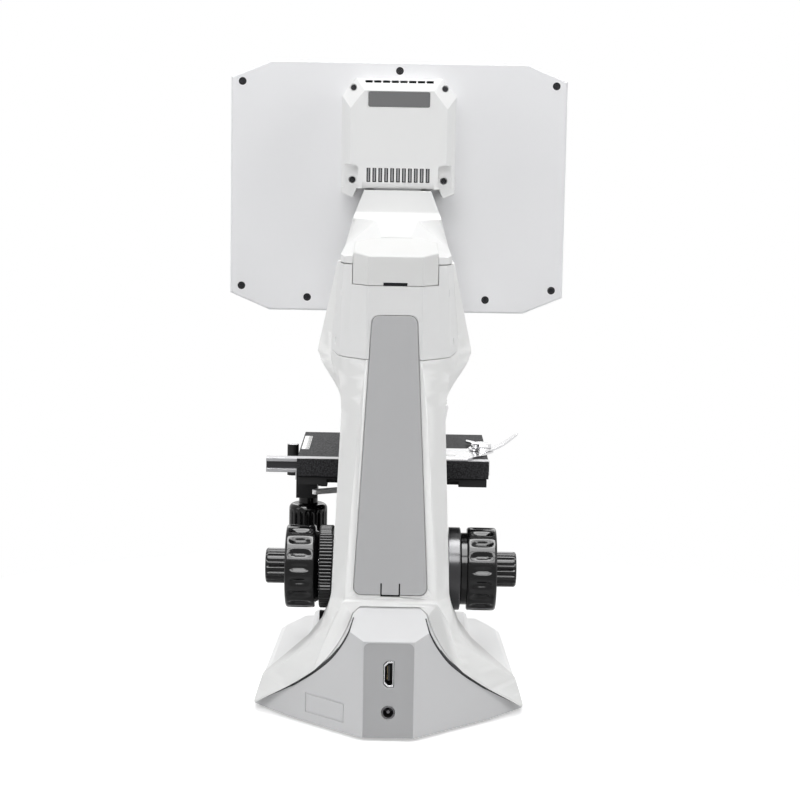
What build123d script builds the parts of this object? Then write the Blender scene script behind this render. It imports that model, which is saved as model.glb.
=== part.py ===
from build123d import *
import math
import os

# A compound microscope that shows its picture on a tilting screen, built as separate pieces.
# Millimetres. While building, the optical axis is the Z axis, +Y points to the arm at the rear,
# +X is the user's right and z = 0 is the bench. At the end every piece is moved along Y, so that
# the origin lies under the middle of the base.

# ---- clearances -------------------------------------------------------------------------------
RUN = 0.05              # radial clearance of a shaft that turns in its bore
SLIDE = 0.3             # gap between faces that pass each other
SEAM = 0.4              # visible gap between two covers

# ---- base -------------------------------------------------------------------------------------
FOOT_GAP = 2.0          # height of the rubber feet under the base
FOOT_R = 8.0
FOOT_SINK = 1.2         # depth of the feet inside the bottom plate
BASE_WALL = 3.0
PLATE_T = 2.0           # bottom plate
WING_TOP = 20.0
TAIL_X = 15.0           # half width of the flat strip at the very rear
TAIL_Y = 150.0
HIP_X = 60.0
HIP_Y = 112.5
CORNER_X = 82.0
CORNER_Y = 92.0
TOE_X = 77.0
TOE_Y = -39.0
NOSE_X = 63.5
NOSE_Y = -70.0
FRONT_X = 42.0
FRONT_Y = -75.0
WING_BEVEL = 2.5
DAIS_X = 52.0
DAIS_FRONT_Y = -62.0
DAIS_REAR_Y = 44.0
DAIS_RISE = 6.0
DAIS_BEVEL = 2.5
PLATE_SCREW_HEAD_R = 2.8
PLATE_SCREW_HEAD_T = 1.0
SCREW_R = 1.5
PLATE_SCREW_L = 9.0
BOSS_R = 4.5

# ---- arm: column, focus housing and head ------------------------------------------------------
ARM_REAR_Y = 125.0
ARM_FRONT_Y = 80.0
ARM_CHAMFER_Y = 112.0
ARM_FOOT_X = 37.5       # half width at the wing top, were the column to run straight down
ARM_NECK_X = 30.6       # half width where the flare of the head starts
ARM_NECK_Z = 187.0
ARM_FLAT_FOOT_X = 31.0  # half width of the rear flat at the wing top
ARM_FLAT_NECK_X = 19.8
ARM_WALL = 4.0
COLUMN_FOOT_Z = 78.0    # below this height the column widens into the skirt
HEAD_Z = 220.0          # widest height of the head
HEAD_TOP_Z = 276.0
HEAD_FLAT = (16.5, 15.9)    # half widths at the widest height and at the top, from the rear forwards
HEAD_EDGE = (27.5, 24.8)
HEAD_EDGE_Y = 114.0
HEAD_CORNER = (32.8, 30.5)
HEAD_CORNER_Y = 106.0
HEAD_SIDE = (39.0, 33.8)
HEAD_SIDE_Y = 68.0
HEAD_RIM = (46.8, 34.8)
HEAD_RIM_Y = 58.0
HEAD_CHEEK_Y = -20.0
HEAD_NOSE = (30.0, 26.0)
HEAD_FRONT_Y = -42.0
HEAD_LIP = 3.0          # how far the front of the head reaches below its widest height
# height and share of the way from the column's section to the head's
FLARE = ((187.0, 0.0), (192.0, 0.06), (197.0, 0.22), (201.0, 0.38), (205.0, 0.57), (209.0, 0.75),
         (213.0, 0.9), (217.0, 0.98), (220.0, 1.0))
HOUSING_X = 33.8
HOUSING_FRONT_Y = 48.0
HOUSING_TOP_Z = 113.5
HOUSING_CAVITY_X = 20.5
HOUSING_FLOOR = 6.0     # thickness of the housing's floor above the wing top

# bell-shaped skirt at the foot of the arm: height, half width at the inner and at the outer edge of
# its chamfer, and how far to the rear the outer edge lies
SKIRT = ((2.0, 80.6, 82.0, 89.0), (6.0, 81.4, 82.0, 91.0), (12.5, 73.8, 80.0, 88.0), (20.0, 63.2, 77.6, 87.0),
         (22.0, 60.8, 75.9, 88.5), (32.6, 49.5, 63.7, 101.0), (45.0, 38.8, 49.8, 111.0), (56.0, 31.8, 41.6, 117.5),
         (65.0, 28.9, 38.2, 118.5), (72.0, 27.8, 36.3, 115.0))
LEAN_GROW = 1.5         # the skirt's lean lies this much above the connector cover's
BASE_LEAN = 4.4         # how far the base's sides lean in over their height
BASE_LEAN_Z = 6.0
CONNECTOR_TOP_Z = 74.0
CONNECTOR_TOP_X = 21.6
CONNECTOR_BROW_Z = 59.5
CONNECTOR_WALL = 2.5
STRIP_X = 14.6          # shallow panel in the middle of the connector cover
STRIP_TOP_Z = 58.6
STRIP_SINK = 0.35
STRIP_R = 3.5
FRAME_W = 31.0          # outline engraved beside the sockets, for a data plate
FRAME_H = 12.0
FRAME_Z = 13.8
FRAME_ALONG = 29.5      # its middle, measured along the wall from the middle strip's edge
FRAME_LINE = 0.9
FRAME_SINK = 0.6

# ---- rear covers ------------------------------------------------------------------------------
ACCESS_BOTTOM_Z = 81.3
ACCESS_TOP_Z = 246.0
ACCESS_BOTTOM_X = 21.7
ACCESS_TOP_X = 13.0
ACCESS_CORNER_R = 4.5
ACCESS_T = 2.6
ACCESS_PROUD = 0.5
ACCESS_LEDGE = 2.2
LATCH_X = 5.0
LATCH_H = 7.0
LATCH_SLOT = 0.8
UPPER_COVER_BOTTOM_Z = HEAD_Z + 0.5
UPPER_COVER_TOP_Z = 263.0
UPPER_COVER_T = 2.4
UPPER_COVER_CORNER_R = 10.0
CAP_T = 17.2           # height of the cap at its rear face
CAP_FRONT_Y = 72.0
CAP_CLIMB = 8.0         # how much higher the cap stands at its front
CAP_GAP = 0.15
CAP_NOSE_X = 14.0
CAP_SLOT_X = 7.0
CAP_SLOT_H = 1.7
CAP_SLOT_D = 6.0
COVER_SCREW_R = 1.6
COVER_SCREW_HEAD_R = 2.4
COVER_SCREW_HEAD_T = 1.2
COVER_SCREW_L = 7.0

# ---- sockets ----------------------------------------------------------------------------------
HDMI_Z0 = 32.5
HDMI_Z1 = 47.8
HDMI_W = 5.6
HDMI_DEPTH = 12.0
HDMI_WALL = 0.5
HDMI_CHAMFER = 2.2
HDMI_TONGUE = 1.4
DC_Z = 17.3
DC_SHELL_R = 3.9
DC_BORE_R = 3.05
DC_PIN_R = 1.0
DC_DEPTH = 11.0
PCB_T = 1.6
CONNECTOR_BOARD_X = 16.0

# ---- neck and top cover -----------------------------------------------------------------------
NECK_TOP_Z = 313.6
NECK_TOP_X = 21.5
NECK_FOOT_Z = 297.0
NECK_FOOT_X = 28.0
NECK_REAR_Y = -12.0
ROOF_FRONT_Y = -4.0
# ridge of the roof: place along Y, half width and height
RIDGE = ((-42.0, 28.0, 297.0), (-12.0, 28.0, 297.0), (-4.0, 26.5, 296.0), (3.0, 13.0, 295.2), (72.0, 9.0, 288.2),
         (125.0, 9.0, 280.2))
EAVES_Z = 278.0
EAVES_X = 33.2
ROOF_SEAM_FRONT_Z = 268.0
ROOF_SEAM_REAR_Z = 275.4
NECK_FILLET = 4.5
COVER_WALL = 2.5

# ---- optics -----------------------------------------------------------------------------------
SHOULDER_Z = 199.0      # where the working objective screws in
TURRET_TILT = 12.0      # degrees
TURRET_PITCH_R = 19.5
TURRET_R = 33.0
TURRET_T = 12.0
TURRET_FLUTES = 48
TURRET_HUB_R = 6.0
TURRET_BOSS = 2.6       # how far the objective bosses stand below the turret
OBJECTIVE_THREAD_R = 10.1
OBJECTIVE_THREAD_L = 4.5
OBJECTIVE_COLLAR_R = 11.0
OBJECTIVE_BODY_R = 9.6
OBJECTIVE_LENGTHS = (27.0, 36.0, 43.5, 43.8)
OBJECTIVE_TIP_R = (6.0, 4.6, 3.4, 2.6)
OBJECTIVE_NAMES = ("4x", "10x", "40x", "100x")
MOUNT_R = 30.0
MOUNT_T = 7.0
LIGHT_BORE_R = 9.0
TUBE_R = 15.0
TUBE_LENS_R = 12.5
TUBE_LENS_T = 5.0
TUBE_CELL_H = 14.0
TUBE_CELL_Z = 236.0
TUBE_TOP_Z = 250.0      # floor of the camera chamber
CAMERA_X = 19.0
CAMERA_T = 1.6
CAMERA_SENSOR = 9.0
CAMERA_SENSOR_T = 2.0
CHAMBER_X = 21.0
CHAMBER_Y = 24.0

# ---- lamp house -------------------------------------------------------------------------------
LAMP_HOUSE_R = 27.0
LAMP_HOUSE_TOP_Z = 58.0
LAMP_HOUSE_WALL = 3.0
COLLECTOR_R = 15.0
COLLECTOR_T = 6.0
FILTER_SEAT_R = 16.0
FILTER_SEAT_D = 3.0
LED_BOARD_R = 20.0
LED_BOARD_T = 1.6
LED_DOME_R = 4.0
LED_POST_R = 3.0

# ---- brightness dial --------------------------------------------------------------------------
DIMMER_R = 4.7
DIMMER_W = 10.0
DIMMER_TEETH = 24
DIMMER_Y = 58.0
DIMMER_Z = 50.0
DIMMER_SHAFT_R = 2.0

# ---- focus drive ------------------------------------------------------------------------------
FOCUS_Y = 75.0
FOCUS_Z = 86.6
COARSE_R = 25.3
COARSE_X0 = 46.0
COARSE_X1 = 64.0
COARSE_FLUTES = 18
COARSE_FLUTE_R = 3.2
COARSE_GROOVE_R = 21.0
COARSE_HUB_R = 9.0
FINE_R = 10.7
FINE_X1 = 76.5
FINE_FLUTES = 18
FINE_FLUTE_R = 1.05
RING_R = 25.3
RING_X0 = 35.0          # inner face of the two rings
RING_X1 = 43.5
RING_BORE_R = 19.0
RING_TEETH = 50
RING_TOOTH = 0.8
LIMIT_RING_T = 7.2
COARSE_SHAFT_R = 6.5
FINE_SHAFT_R = 3.0
BUSH_T = 2.0
PINION_R = 6.0
PINION_TEETH = 12
PINION_W = 10.0
TOOTH_HEIGHT = 0.75     # addendum and dedendum of every tooth
TOOTH_FILL = 0.60       # share of half a pitch that a tooth takes at its pitch line
RAIL_W = 5.0
RAIL_FRONT_Y = 51.0
RAIL_REAR_Y = 65.0
RAIL_BOTTOM_Z = 40.0
CARRIAGE_BOTTOM_Z = 48.0
CARRIAGE_TOP_Z = 112.0
CARRIAGE_FRONT_Y = 50.0
CARRIAGE_REAR_Y = 66.5
FINE_TRAVEL = 0.8
COARSE_UP = 3.3
COARSE_DOWN = 18.0

# ---- stage ------------------------------------------------------------------------------------
STAGE_TOP_Z = 149.5
STAGE_X = 59.5
STAGE_FRONT_Y = -55.0
STAGE_REAR_Y = 54.0
STAGE_T = 2.5
STAGE_TRAVEL_Y = 12.0
STAGE_WINDOW_X = 17.0
STAGE_WINDOW_Y = 28.0
SKIRT_W = 4.5
SKIRT_BOTTOM_Z = 139.0
BEAM_FRONT_Y = 38.0
BEAM_BOTTOM_Z = 138.5
SLAB_TOP_Z = 138.0
SLAB_T = 5.0
SLAB_X = 58.5
SLAB_FRONT_Y = -50.0
SLAB_REAR_Y = 52.0
SLAB_NOTCH_X = 41.0
SLAB_NOTCH_Y = 44.0
SLAB_BORE_R = 18.0
DRIVE_NOTCH_X = 43.0
WEB_X = 14.0
WEB_FRONT_Y = 42.0
WEB_BOTTOM_Z = 58.0
GUIDE_X0 = 24.0
GUIDE_X1 = 32.0
GUIDE_FRONT_Y = -40.0
GUIDE_REAR_Y = 22.0
RUNNER_W = 4.0
XRAIL_Y0 = 44.0
XRAIL_Y1 = 52.0
XRAIL_H = 9.0
XRAIL_LOW_X = -60.0
XRAIL_HIGH_X = 78.6
XRAIL_GROOVE_D = 1.5
XRAIL_GROOVE_H = 4.4
SLIDE_X = 76.0          # a glass slide is 76 by 26
SLIDE_Y = 26.0
HOLDER_X = -8.5         # middle of the slide holder at rest
HOLDER_T = 1.3
HOLDER_LIFT = 0.2
JAW_W = 4.0
HOLDER_REAR_Y = 52.0
FINGER_PIVOT_X = -56.0
FINGER_PIVOT_Y = 18.0
FINGER_HUB_R = 8.0
FINGER_T = 1.4
FINGER_PIN_R = 2.0
FINGER_PIN_HEAD_R = 6.5
FINGER_PIN_HEAD_T = 3.0
FINGER_PIN_HEAD_BEVEL = 1.8
# the finger handle bows up towards its tip: x, height of its underside, thickness
FINGER_BOW = ((-50.0, 0.0, 1.4), (-64.5, 0.0, 1.4), (-67.5, 0.8, 1.5), (-71.0, 2.2, 1.6), (-74.5, 4.0, 1.6),
              (-78.0, 6.0, 1.5), (-82.0, 8.4, 1.3))
DRIVE_X = 54.5
DRIVE_BLOCK_X0 = 48.5
DRIVE_BLOCK_X1 = 62.0
DRIVE_BLOCK_Y = 10.0
DRIVE_BLOCK_BOTTOM_Z = 116.5
Y_PINION_R = 8.0
Y_PINION_TEETH = 16
Y_PINION_Z0 = 127.0
Y_PINION_T = 5.5
Y_KNOB_R = 12.35
Y_KNOB_TOP_Z = 111.5
Y_KNOB_BOTTOM_Z = 89.0
Y_COLLAR_R = 6.1
Y_SHAFT_R = 4.5
X_SHAFT_R = 2.5
X_KNOB_R = 10.0
X_KNOB_BOTTOM_Z = 68.0
X_PULLEY_R = 5.0
X_PULLEY_T = 3.0
KNOB_FLUTES = 20
KNOB_FLUTE_R = 0.9
POST_R = 3.7
POST_X = 65.0
POST_Y = -5.0
POST_TOP_Z = 149.3
POST_BOTTOM_Z = 129.0
POST_SLOT = 0.9

# ---- condenser --------------------------------------------------------------------------------
CONDENSER_R = 17.0
CONDENSER_TOP_R = 12.5
CONDENSER_BOTTOM_Z = 109.0
CONDENSER_SHOULDER_Z = 131.0
CONDENSER_TOP_Z = 145.8
CONDENSER_LENS_R = 10.5
CONDENSER_BORE_R = 9.0
CONDENSER_RING_R = 21.0
CONDENSER_RING_Z0 = 112.5
CONDENSER_RING_Z1 = 121.8
CONDENSER_TRAVEL = 9.0
CONDENSER_BLOCK_X = 12.0
CONDENSER_BLOCK_Y = 30.0
CONDENSER_PINION_R = 5.0
CONDENSER_PINION_TEETH = 10
CONDENSER_PINION_X0 = -18.0
CONDENSER_PINION_W = 5.0
CONDENSER_PINION_Z = 118.0
CONDENSER_SHAFT_R = 2.5
CONDENSER_KNOB_R = 8.0
CONDENSER_KNOB_X = -32.5
EAR_X0 = -24.0
EAR_X1 = -19.0
EAR_R = 5.5
IRIS_RING_R = 19.5
IRIS_T = 3.0
IRIS_Z = 122.3
LEVER_END_X = 50.5
LEVER_END_Y = 28.0
LEVER_W = 4.5

# ---- screen -----------------------------------------------------------------------------------
SCREEN_X = 110.0
SCREEN_BOTTOM_Z = 232.7
SCREEN_TOP_Z = 396.2
SCREEN_CUT_X = 26.0
SCREEN_CUT_Z = 11.0
SCREEN_REAR_Y = -45.0
SCREEN_BODY = 17.0      # depth of the rear cover
BEZEL_T = 9.0
SCREEN_WALL = 2.5
WINDOW_X = 94.0
WINDOW_BOTTOM_Z = 246.0
WINDOW_TOP_Z = 386.0
PANEL_MARGIN = 1.2
PANEL_T = 6.5
BEZEL_LIP = 2.0
SCREEN_EDGE = 1.2
BOARD_X = 60.0
BOARD_Z0 = 262.0
BOARD_Z1 = 340.0
BOARD_T = 1.6
STANDOFF_R = 3.2
STANDOFF_H = 5.0
CASE_SCREW_R = 1.2
CASE_HEAD_R = 1.8
CASE_HEAD_T = 1.2
CASE_SINK_R = 2.5
CASE_SINK_D = 1.6
CASE_BOSS_R = 2.8
CABLE_X = 15.0          # opening for the cables behind the hump
CABLE_Z0 = 335.0
CABLE_Z1 = 360.0
CHIP_X = 18.0
CHIP_Z0 = 290.0
CHIP_Z1 = 320.0
CHIP_T = 4.0
SOCKET_X0 = -50.0
SOCKET_X1 = -20.0
SOCKET_Z0 = 268.0
SOCKET_Z1 = 276.0
SOCKET_T = 6.0
HUMP_X = 36.7
HUMP_TOP_Z = 385.0
HUMP_CUT_X = 9.0
HUMP_CUT_Z = 11.5
HUMP_BOTTOM_Z = 314.6
HUMP_WALL_Y = -24.0     # where the hump's straight sides end
HUMP_REAR_Y = -15.0
HUMP_PLATEAU_X = 31.0
HUMP_PLATEAU_TOP_Z = 377.0
HUMP_WALL = 2.2
VENT_COUNT = 11
VENT_PITCH = 3.8
VENT_W = 2.4
VENT_H = 9.0
VENT_Z = 323.3
TOP_VENT_COUNT = 8
TOP_VENT_PITCH = 5.6
TOP_VENT_W = 4.6
TOP_VENT_H = 1.6
PLATE_X = 20.0
PLATE_Z0 = 366.4
PLATE_Z1 = 376.6
PLATE_SINK = 0.5        # recess for a data plate
HUMP_SCREW_X = 29.5
HUMP_SCREW_TOP_Z = 378.8
HUMP_SCREW_LOW_Z = 320.0
HUMP_POCKET_R = 3.4
HUMP_CORNER_X = 25.5    # the lower corners are scooped out round their screws
HUMP_CORNER_Z = 330.0
HUMP_CORNER_Y = -20.5
HUMP_CORNER_R = 3.0
HUMP_CORNER_WALL = 2.5
HINGE_R = 5.0           # the hump's bottom edge is round about the hinge pin
HINGE_PIN_R = 1.5
KNUCKLE_R = 2.7
HINGE_X = 15.0
KNUCKLE_W = 6.0
HINGE_WEB_T = 2.5
HINGE_SLOT_X = 16.0


# ---- small tools ------------------------------------------------------------------------------
def block(x0, x1, y0, y1, z0, z1):
    centre = Location(((x0 + x1) / 2, (y0 + y1) / 2, (z0 + z1) / 2))
    return Box(x1 - x0, y1 - y0, z1 - z0).moved(centre)


def rod_z(x, y, z0, z1, r):
    return Cylinder(r, z1 - z0).moved(Location((x, y, (z0 + z1) / 2)))


def rod_x(x0, x1, y, z, r):
    return Cylinder(r, x1 - x0).moved(Location(((x0 + x1) / 2, y, z), (0, 90, 0)))


def rod_y(x, y0, y1, z, r):
    return Cylinder(r, y1 - y0).moved(Location((x, (y0 + y1) / 2, z), (90, 0, 0)))


def prism_z(points, z0, z1):
    face = make_face(Polyline(*[(x, y, z0) for x, y in points], close=True))
    return extrude(face, amount=z1 - z0, dir=(0, 0, 1))


def prism_y(points, y0, y1):
    face = make_face(Polyline(*[(x, y0, z) for x, z in points], close=True))
    return extrude(face, amount=y1 - y0, dir=(0, 1, 0))


def prism_x(points, x0, x1):
    face = make_face(Polyline(*[(x0, y, z) for y, z in points], close=True))
    return extrude(face, amount=x1 - x0, dir=(1, 0, 0))


def both_sides(half):
    return half + [(-u, v) for u, v in reversed(half)]


def loft_z(low, low_z, high, high_z):
    faces = [make_face(Polyline(*[(x, y, z) for x, y in points], close=True))
             for points, z in ((low, low_z), (high, high_z))]
    return loft(faces, ruled=True)


def tooth_outline(r, teeth, height, fill):
    """Points of a gear section: teeth with straight flanks about the pitch radius r."""
    pitch = 2 * math.pi / teeth
    points = []
    for i in range(teeth):
        for share, radius in ((-1.25, r - height), (-0.75, r + height),
                              (0.75, r + height), (1.25, r - height)):
            angle = pitch * (i + share * fill / 4)
            points.append((radius * math.cos(angle), radius * math.sin(angle)))
    return points


def gear(r, teeth, width):
    """A spur gear about the Z axis, with a tooth pointing along +X."""
    points = tooth_outline(r, teeth, TOOTH_HEIGHT, TOOTH_FILL)
    return prism_z(points, 0, width)


def rack_teeth(pitch, length, back):
    """Rack section in u (along) and v (out): pitch line v = 0, a gap at u = 0, body down to -back."""
    count = int(length / pitch / 2)
    quarter = pitch * TOOTH_FILL / 4
    points = [(-length / 2, -TOOTH_HEIGHT)]
    for i in range(-count, count):
        middle = (i + 0.5) * pitch
        points += [(middle - 1.25 * quarter, -TOOTH_HEIGHT), (middle - 0.75 * quarter, TOOTH_HEIGHT),
                   (middle + 0.75 * quarter, TOOTH_HEIGHT), (middle + 1.25 * quarter, -TOOTH_HEIGHT)]
    points += [(length / 2, -TOOTH_HEIGHT), (length / 2, -back), (-length / 2, -back)]
    return points


def fluted(r, length, flutes, flute_r, depth, bevel=0.0, land=-1.0):
    """A grip about the Z axis with round flutes cut along it; land is the plain length at each end."""
    body = Cylinder(r, length)
    if bevel > 0:
        body = chamfer(body.edges().filter_by(GeomType.CIRCLE), bevel)
    cutter = Cylinder(flute_r, length - 2 * land)
    reach = r + flute_r - depth
    cuts = [cutter.moved(Location((reach * math.cos(a), reach * math.sin(a), 0)))
            for a in (2 * math.pi * i / flutes for i in range(flutes))]
    return body - cuts


# ---- base -------------------------------------------------------------------------------------
def base_outline(inset=0.0):
    """Plan of the base in front of the arm's skirt."""
    half = [(CORNER_X - 0.6 - inset, ARM_FRONT_Y), (TOE_X - inset, TOE_Y),
            (NOSE_X - inset * 0.8, NOSE_Y + inset * 0.6), (FRONT_X - inset * 0.3, FRONT_Y + inset)]
    return both_sides(half)


def plate_outline(inset):
    """Plan of the bottom plate, which closes the base and the arm's skirt."""
    half = [(TAIL_X - inset * 0.4, TAIL_Y - inset), (HIP_X - inset * 0.6, HIP_Y - inset),
            (CORNER_X - inset, CORNER_Y - inset * 0.6), (TOE_X - inset, TOE_Y),
            (NOSE_X - inset * 0.8, NOSE_Y + inset * 0.6), (FRONT_X - inset * 0.3, FRONT_Y + inset)]
    return both_sides(half)


def plate_room():
    return prism_z(plate_outline(BASE_WALL), FOOT_GAP - 1, FOOT_GAP + PLATE_T)


def plate_screw_spots():
    return [(s * x, y) for s in (1, -1) for x, y in ((NOSE_X - 14, NOSE_Y + 24), (TOE_X - 12, 20), (TOE_X - 12, 68))]


def foot_spots():
    return [(s * x, y) for s in (1, -1) for x, y in ((NOSE_X - 16, NOSE_Y + 11), (HIP_X - 16, HIP_Y - 9))]


def base_casting():
    outer = prism_z(base_outline(), FOOT_GAP, BASE_LEAN_Z)
    outer += loft_z(base_outline(), BASE_LEAN_Z, base_outline(BASE_LEAN), WING_TOP)
    rim = [e for e in outer.edges() if abs(e.center().Z - WING_TOP) < 0.01 and e.center().Y < ARM_FRONT_Y - 1]
    outer = chamfer(rim, WING_BEVEL)
    dais = block(-DAIS_X, DAIS_X, DAIS_FRONT_Y, DAIS_REAR_Y, WING_TOP - 1, WING_TOP + DAIS_RISE)
    dais_top = [e for e in dais.edges() if e.center().Z > WING_TOP + DAIS_RISE - 0.01]
    dais = chamfer(dais_top, DAIS_BEVEL)
    casting = outer + dais
    casting -= block(-ARM_FLAT_NECK_X + ARM_WALL, ARM_FLAT_NECK_X - ARM_WALL, ARM_FRONT_Y - BASE_WALL - 1, ARM_FRONT_Y + 1,
                     0, WING_TOP - BASE_WALL)
    hollow = prism_z(base_outline(BASE_WALL + BASE_LEAN), FOOT_GAP - 1, WING_TOP - BASE_WALL)
    casting -= hollow & block(-CORNER_X, CORNER_X, FRONT_Y, ARM_FRONT_Y - BASE_WALL, 0, WING_TOP)
    ledge_z = FOOT_GAP + PLATE_T
    for x, y in plate_screw_spots():
        casting += rod_z(x, y, ledge_z, WING_TOP - BASE_WALL + 0.5, BOSS_R)
        casting -= rod_z(x, y, ledge_z - 0.1, ledge_z + PLATE_SCREW_L - PLATE_T, SCREW_R)
    casting -= plate_room()
    return casting - rod_z(0, 0, FOOT_GAP, WING_TOP + DAIS_RISE + 1, LED_BOARD_R - 6)


def base_bottom_plate():
    plate = prism_z(plate_outline(BASE_WALL + SEAM / 2), FOOT_GAP, FOOT_GAP + PLATE_T)
    for x, y in foot_spots():
        plate -= rod_z(x, y, FOOT_GAP - 1, FOOT_GAP + FOOT_SINK, FOOT_R)
    for x, y in plate_screw_spots():
        plate -= rod_z(x, y, 0, WING_TOP, SCREW_R)
        plate -= rod_z(x, y, 0, FOOT_GAP + PLATE_SCREW_HEAD_T, PLATE_SCREW_HEAD_R)
    return plate


def rubber_feet():
    return Compound([rod_z(x, y, 0, FOOT_GAP + FOOT_SINK, FOOT_R).solid() for x, y in foot_spots()])


def base_plate_screws():
    screws = []
    for x, y in plate_screw_spots():
        head = rod_z(x, y, FOOT_GAP, FOOT_GAP + PLATE_SCREW_HEAD_T, PLATE_SCREW_HEAD_R)
        shank = rod_z(x, y, FOOT_GAP, FOOT_GAP + PLATE_SCREW_L, SCREW_R)
        screws.append((head + shank).solid())
    return Compound(screws)


# ---- arm --------------------------------------------------------------------------------------
def column_side(z):
    """Half width of the column, which narrows evenly from the foot to the neck."""
    return ARM_FOOT_X + (z - WING_TOP) / (ARM_NECK_Z - WING_TOP) * (ARM_NECK_X - ARM_FOOT_X)


def column_flat(z):
    """Half width of the column's rear face."""
    return ARM_FLAT_FOOT_X + (z - WING_TOP) / (ARM_NECK_Z - WING_TOP) * (ARM_FLAT_NECK_X - ARM_FLAT_FOOT_X)


def column_section(z):
    side, flat = column_side(z), column_flat(z)
    return both_sides([(flat, ARM_REAR_Y), (side, ARM_CHAMFER_Y), (side, ARM_FRONT_Y)])


def stack(sections):
    """Solid through plans at several heights, with straight sides between them."""
    faces = [make_face(Polyline(*[(x, y, z) for x, y in points], close=True)) for points, z in sections]
    return loft(faces, ruled=True)


def head_half(z, inset=0.0):
    """Half plan of the head, from its rear face forwards to the rim."""
    share = (z - HEAD_Z) / (HEAD_TOP_Z - HEAD_Z)

    def wide(pair):
        return pair[0] + share * (pair[1] - pair[0]) - inset

    return [(wide(HEAD_FLAT), ARM_REAR_Y - inset), (wide(HEAD_EDGE), HEAD_EDGE_Y - inset),
            (wide(HEAD_CORNER), HEAD_CORNER_Y - inset), (wide(HEAD_SIDE), HEAD_SIDE_Y), (wide(HEAD_RIM), HEAD_RIM_Y)]


def head_section(z, inset=0.0):
    """Whole plan of the head between its widest height and its top."""
    share = (z - HEAD_Z) / (HEAD_TOP_Z - HEAD_Z)
    rear = head_half(z, inset)
    nose = HEAD_NOSE[0] + share * (HEAD_NOSE[1] - HEAD_NOSE[0]) - inset
    return both_sides(rear + [(rear[-1][0], HEAD_CHEEK_Y), (nose, HEAD_FRONT_Y + inset)])


def flare():
    """The column's section grows into the head's."""
    side, flat = column_side(ARM_NECK_Z), column_flat(ARM_NECK_Z)
    low = [(flat, ARM_REAR_Y), ((flat + side) / 2, (ARM_REAR_Y + ARM_CHAMFER_Y) / 2), (side, ARM_CHAMFER_Y),
           (side, (ARM_CHAMFER_Y + ARM_FRONT_Y) / 2), (side, ARM_FRONT_Y)]
    high = head_half(HEAD_Z)
    sections = []
    for z, share in FLARE:
        half = [(a[0] + share * (b[0] - a[0]), a[1] + share * (b[1] - a[1])) for a, b in zip(low, high)]
        sections.append((both_sides(half), z))
    return stack(sections)


def turret_frame():
    """Location of the turret: its origin is the shoulder plane's centre, its Z points up the axle."""
    tilt = math.radians(TURRET_TILT)
    y = TURRET_PITCH_R * math.cos(tilt)
    z = SHOULDER_Z + TURRET_PITCH_R * math.sin(tilt)
    return Location((0, y, z), (TURRET_TILT, 0, 0))


def access_outline(grow):
    """Elevation of the grey rear cover, grown by a margin."""
    slope = (ACCESS_BOTTOM_X - ACCESS_TOP_X) / (ACCESS_TOP_Z - ACCESS_BOTTOM_Z)
    bottom = ACCESS_BOTTOM_X + grow * (1 + slope)
    top = ACCESS_TOP_X + grow * (1 - slope)
    return [(bottom, ACCESS_BOTTOM_Z - grow), (top, ACCESS_TOP_Z + grow),
            (-top, ACCESS_TOP_Z + grow), (-bottom, ACCESS_BOTTOM_Z - grow)]


def access_prism(grow, y0, y1):
    body = prism_y(access_outline(grow), y0, y1)
    return fillet(body.edges().filter_by(Axis.Y), max(ACCESS_CORNER_R + grow, 1.0))


def tail_y(x):
    """Rear outline of the base and the connector cover at half width x."""
    if x <= TAIL_X:
        return TAIL_Y
    if x <= HIP_X:
        return TAIL_Y + (x - TAIL_X) / (HIP_X - TAIL_X) * (HIP_Y - TAIL_Y)
    return HIP_Y + (x - HIP_X) / (CORNER_X - HIP_X) * (CORNER_Y - HIP_Y)


def lean_y(z, grow=0.0):
    """Where the leaning top of the connector cover lies at height z."""
    slope = (TAIL_Y - ARM_REAR_Y) / (CONNECTOR_TOP_Z - CONNECTOR_BROW_Z)
    return min(max(ARM_REAR_Y + (CONNECTOR_TOP_Z + grow - z) * slope, ARM_REAR_Y), TAIL_Y)


def skirt_section(z, inner, outer, outer_y):
    lean = lean_y(z, LEAN_GROW)
    middle = min((TAIL_X + inner) / 2, HIP_X) if inner < HIP_X else HIP_X
    rear = [(x, min(tail_y(x), lean)) for x in (TAIL_X, middle, inner)]
    return both_sides(rear + [(outer, outer_y), (outer, ARM_FRONT_Y)])


def tail_outline(inset=0.0):
    return both_sides([(TAIL_X - inset * 0.4, TAIL_Y - inset), (HIP_X - inset * 0.6, HIP_Y - inset),
                       (CORNER_X - inset, CORNER_Y - inset * 0.6), (CORNER_X - inset, ARM_FRONT_Y + inset)])


def skirt():
    flat, side = column_flat(COLUMN_FOOT_Z), column_side(COLUMN_FOOT_Z)
    rows = SKIRT + ((COLUMN_FOOT_Z, flat, side, ARM_CHAMFER_Y),)
    return stack([(skirt_section(*row), row[0]) for row in rows])


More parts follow.
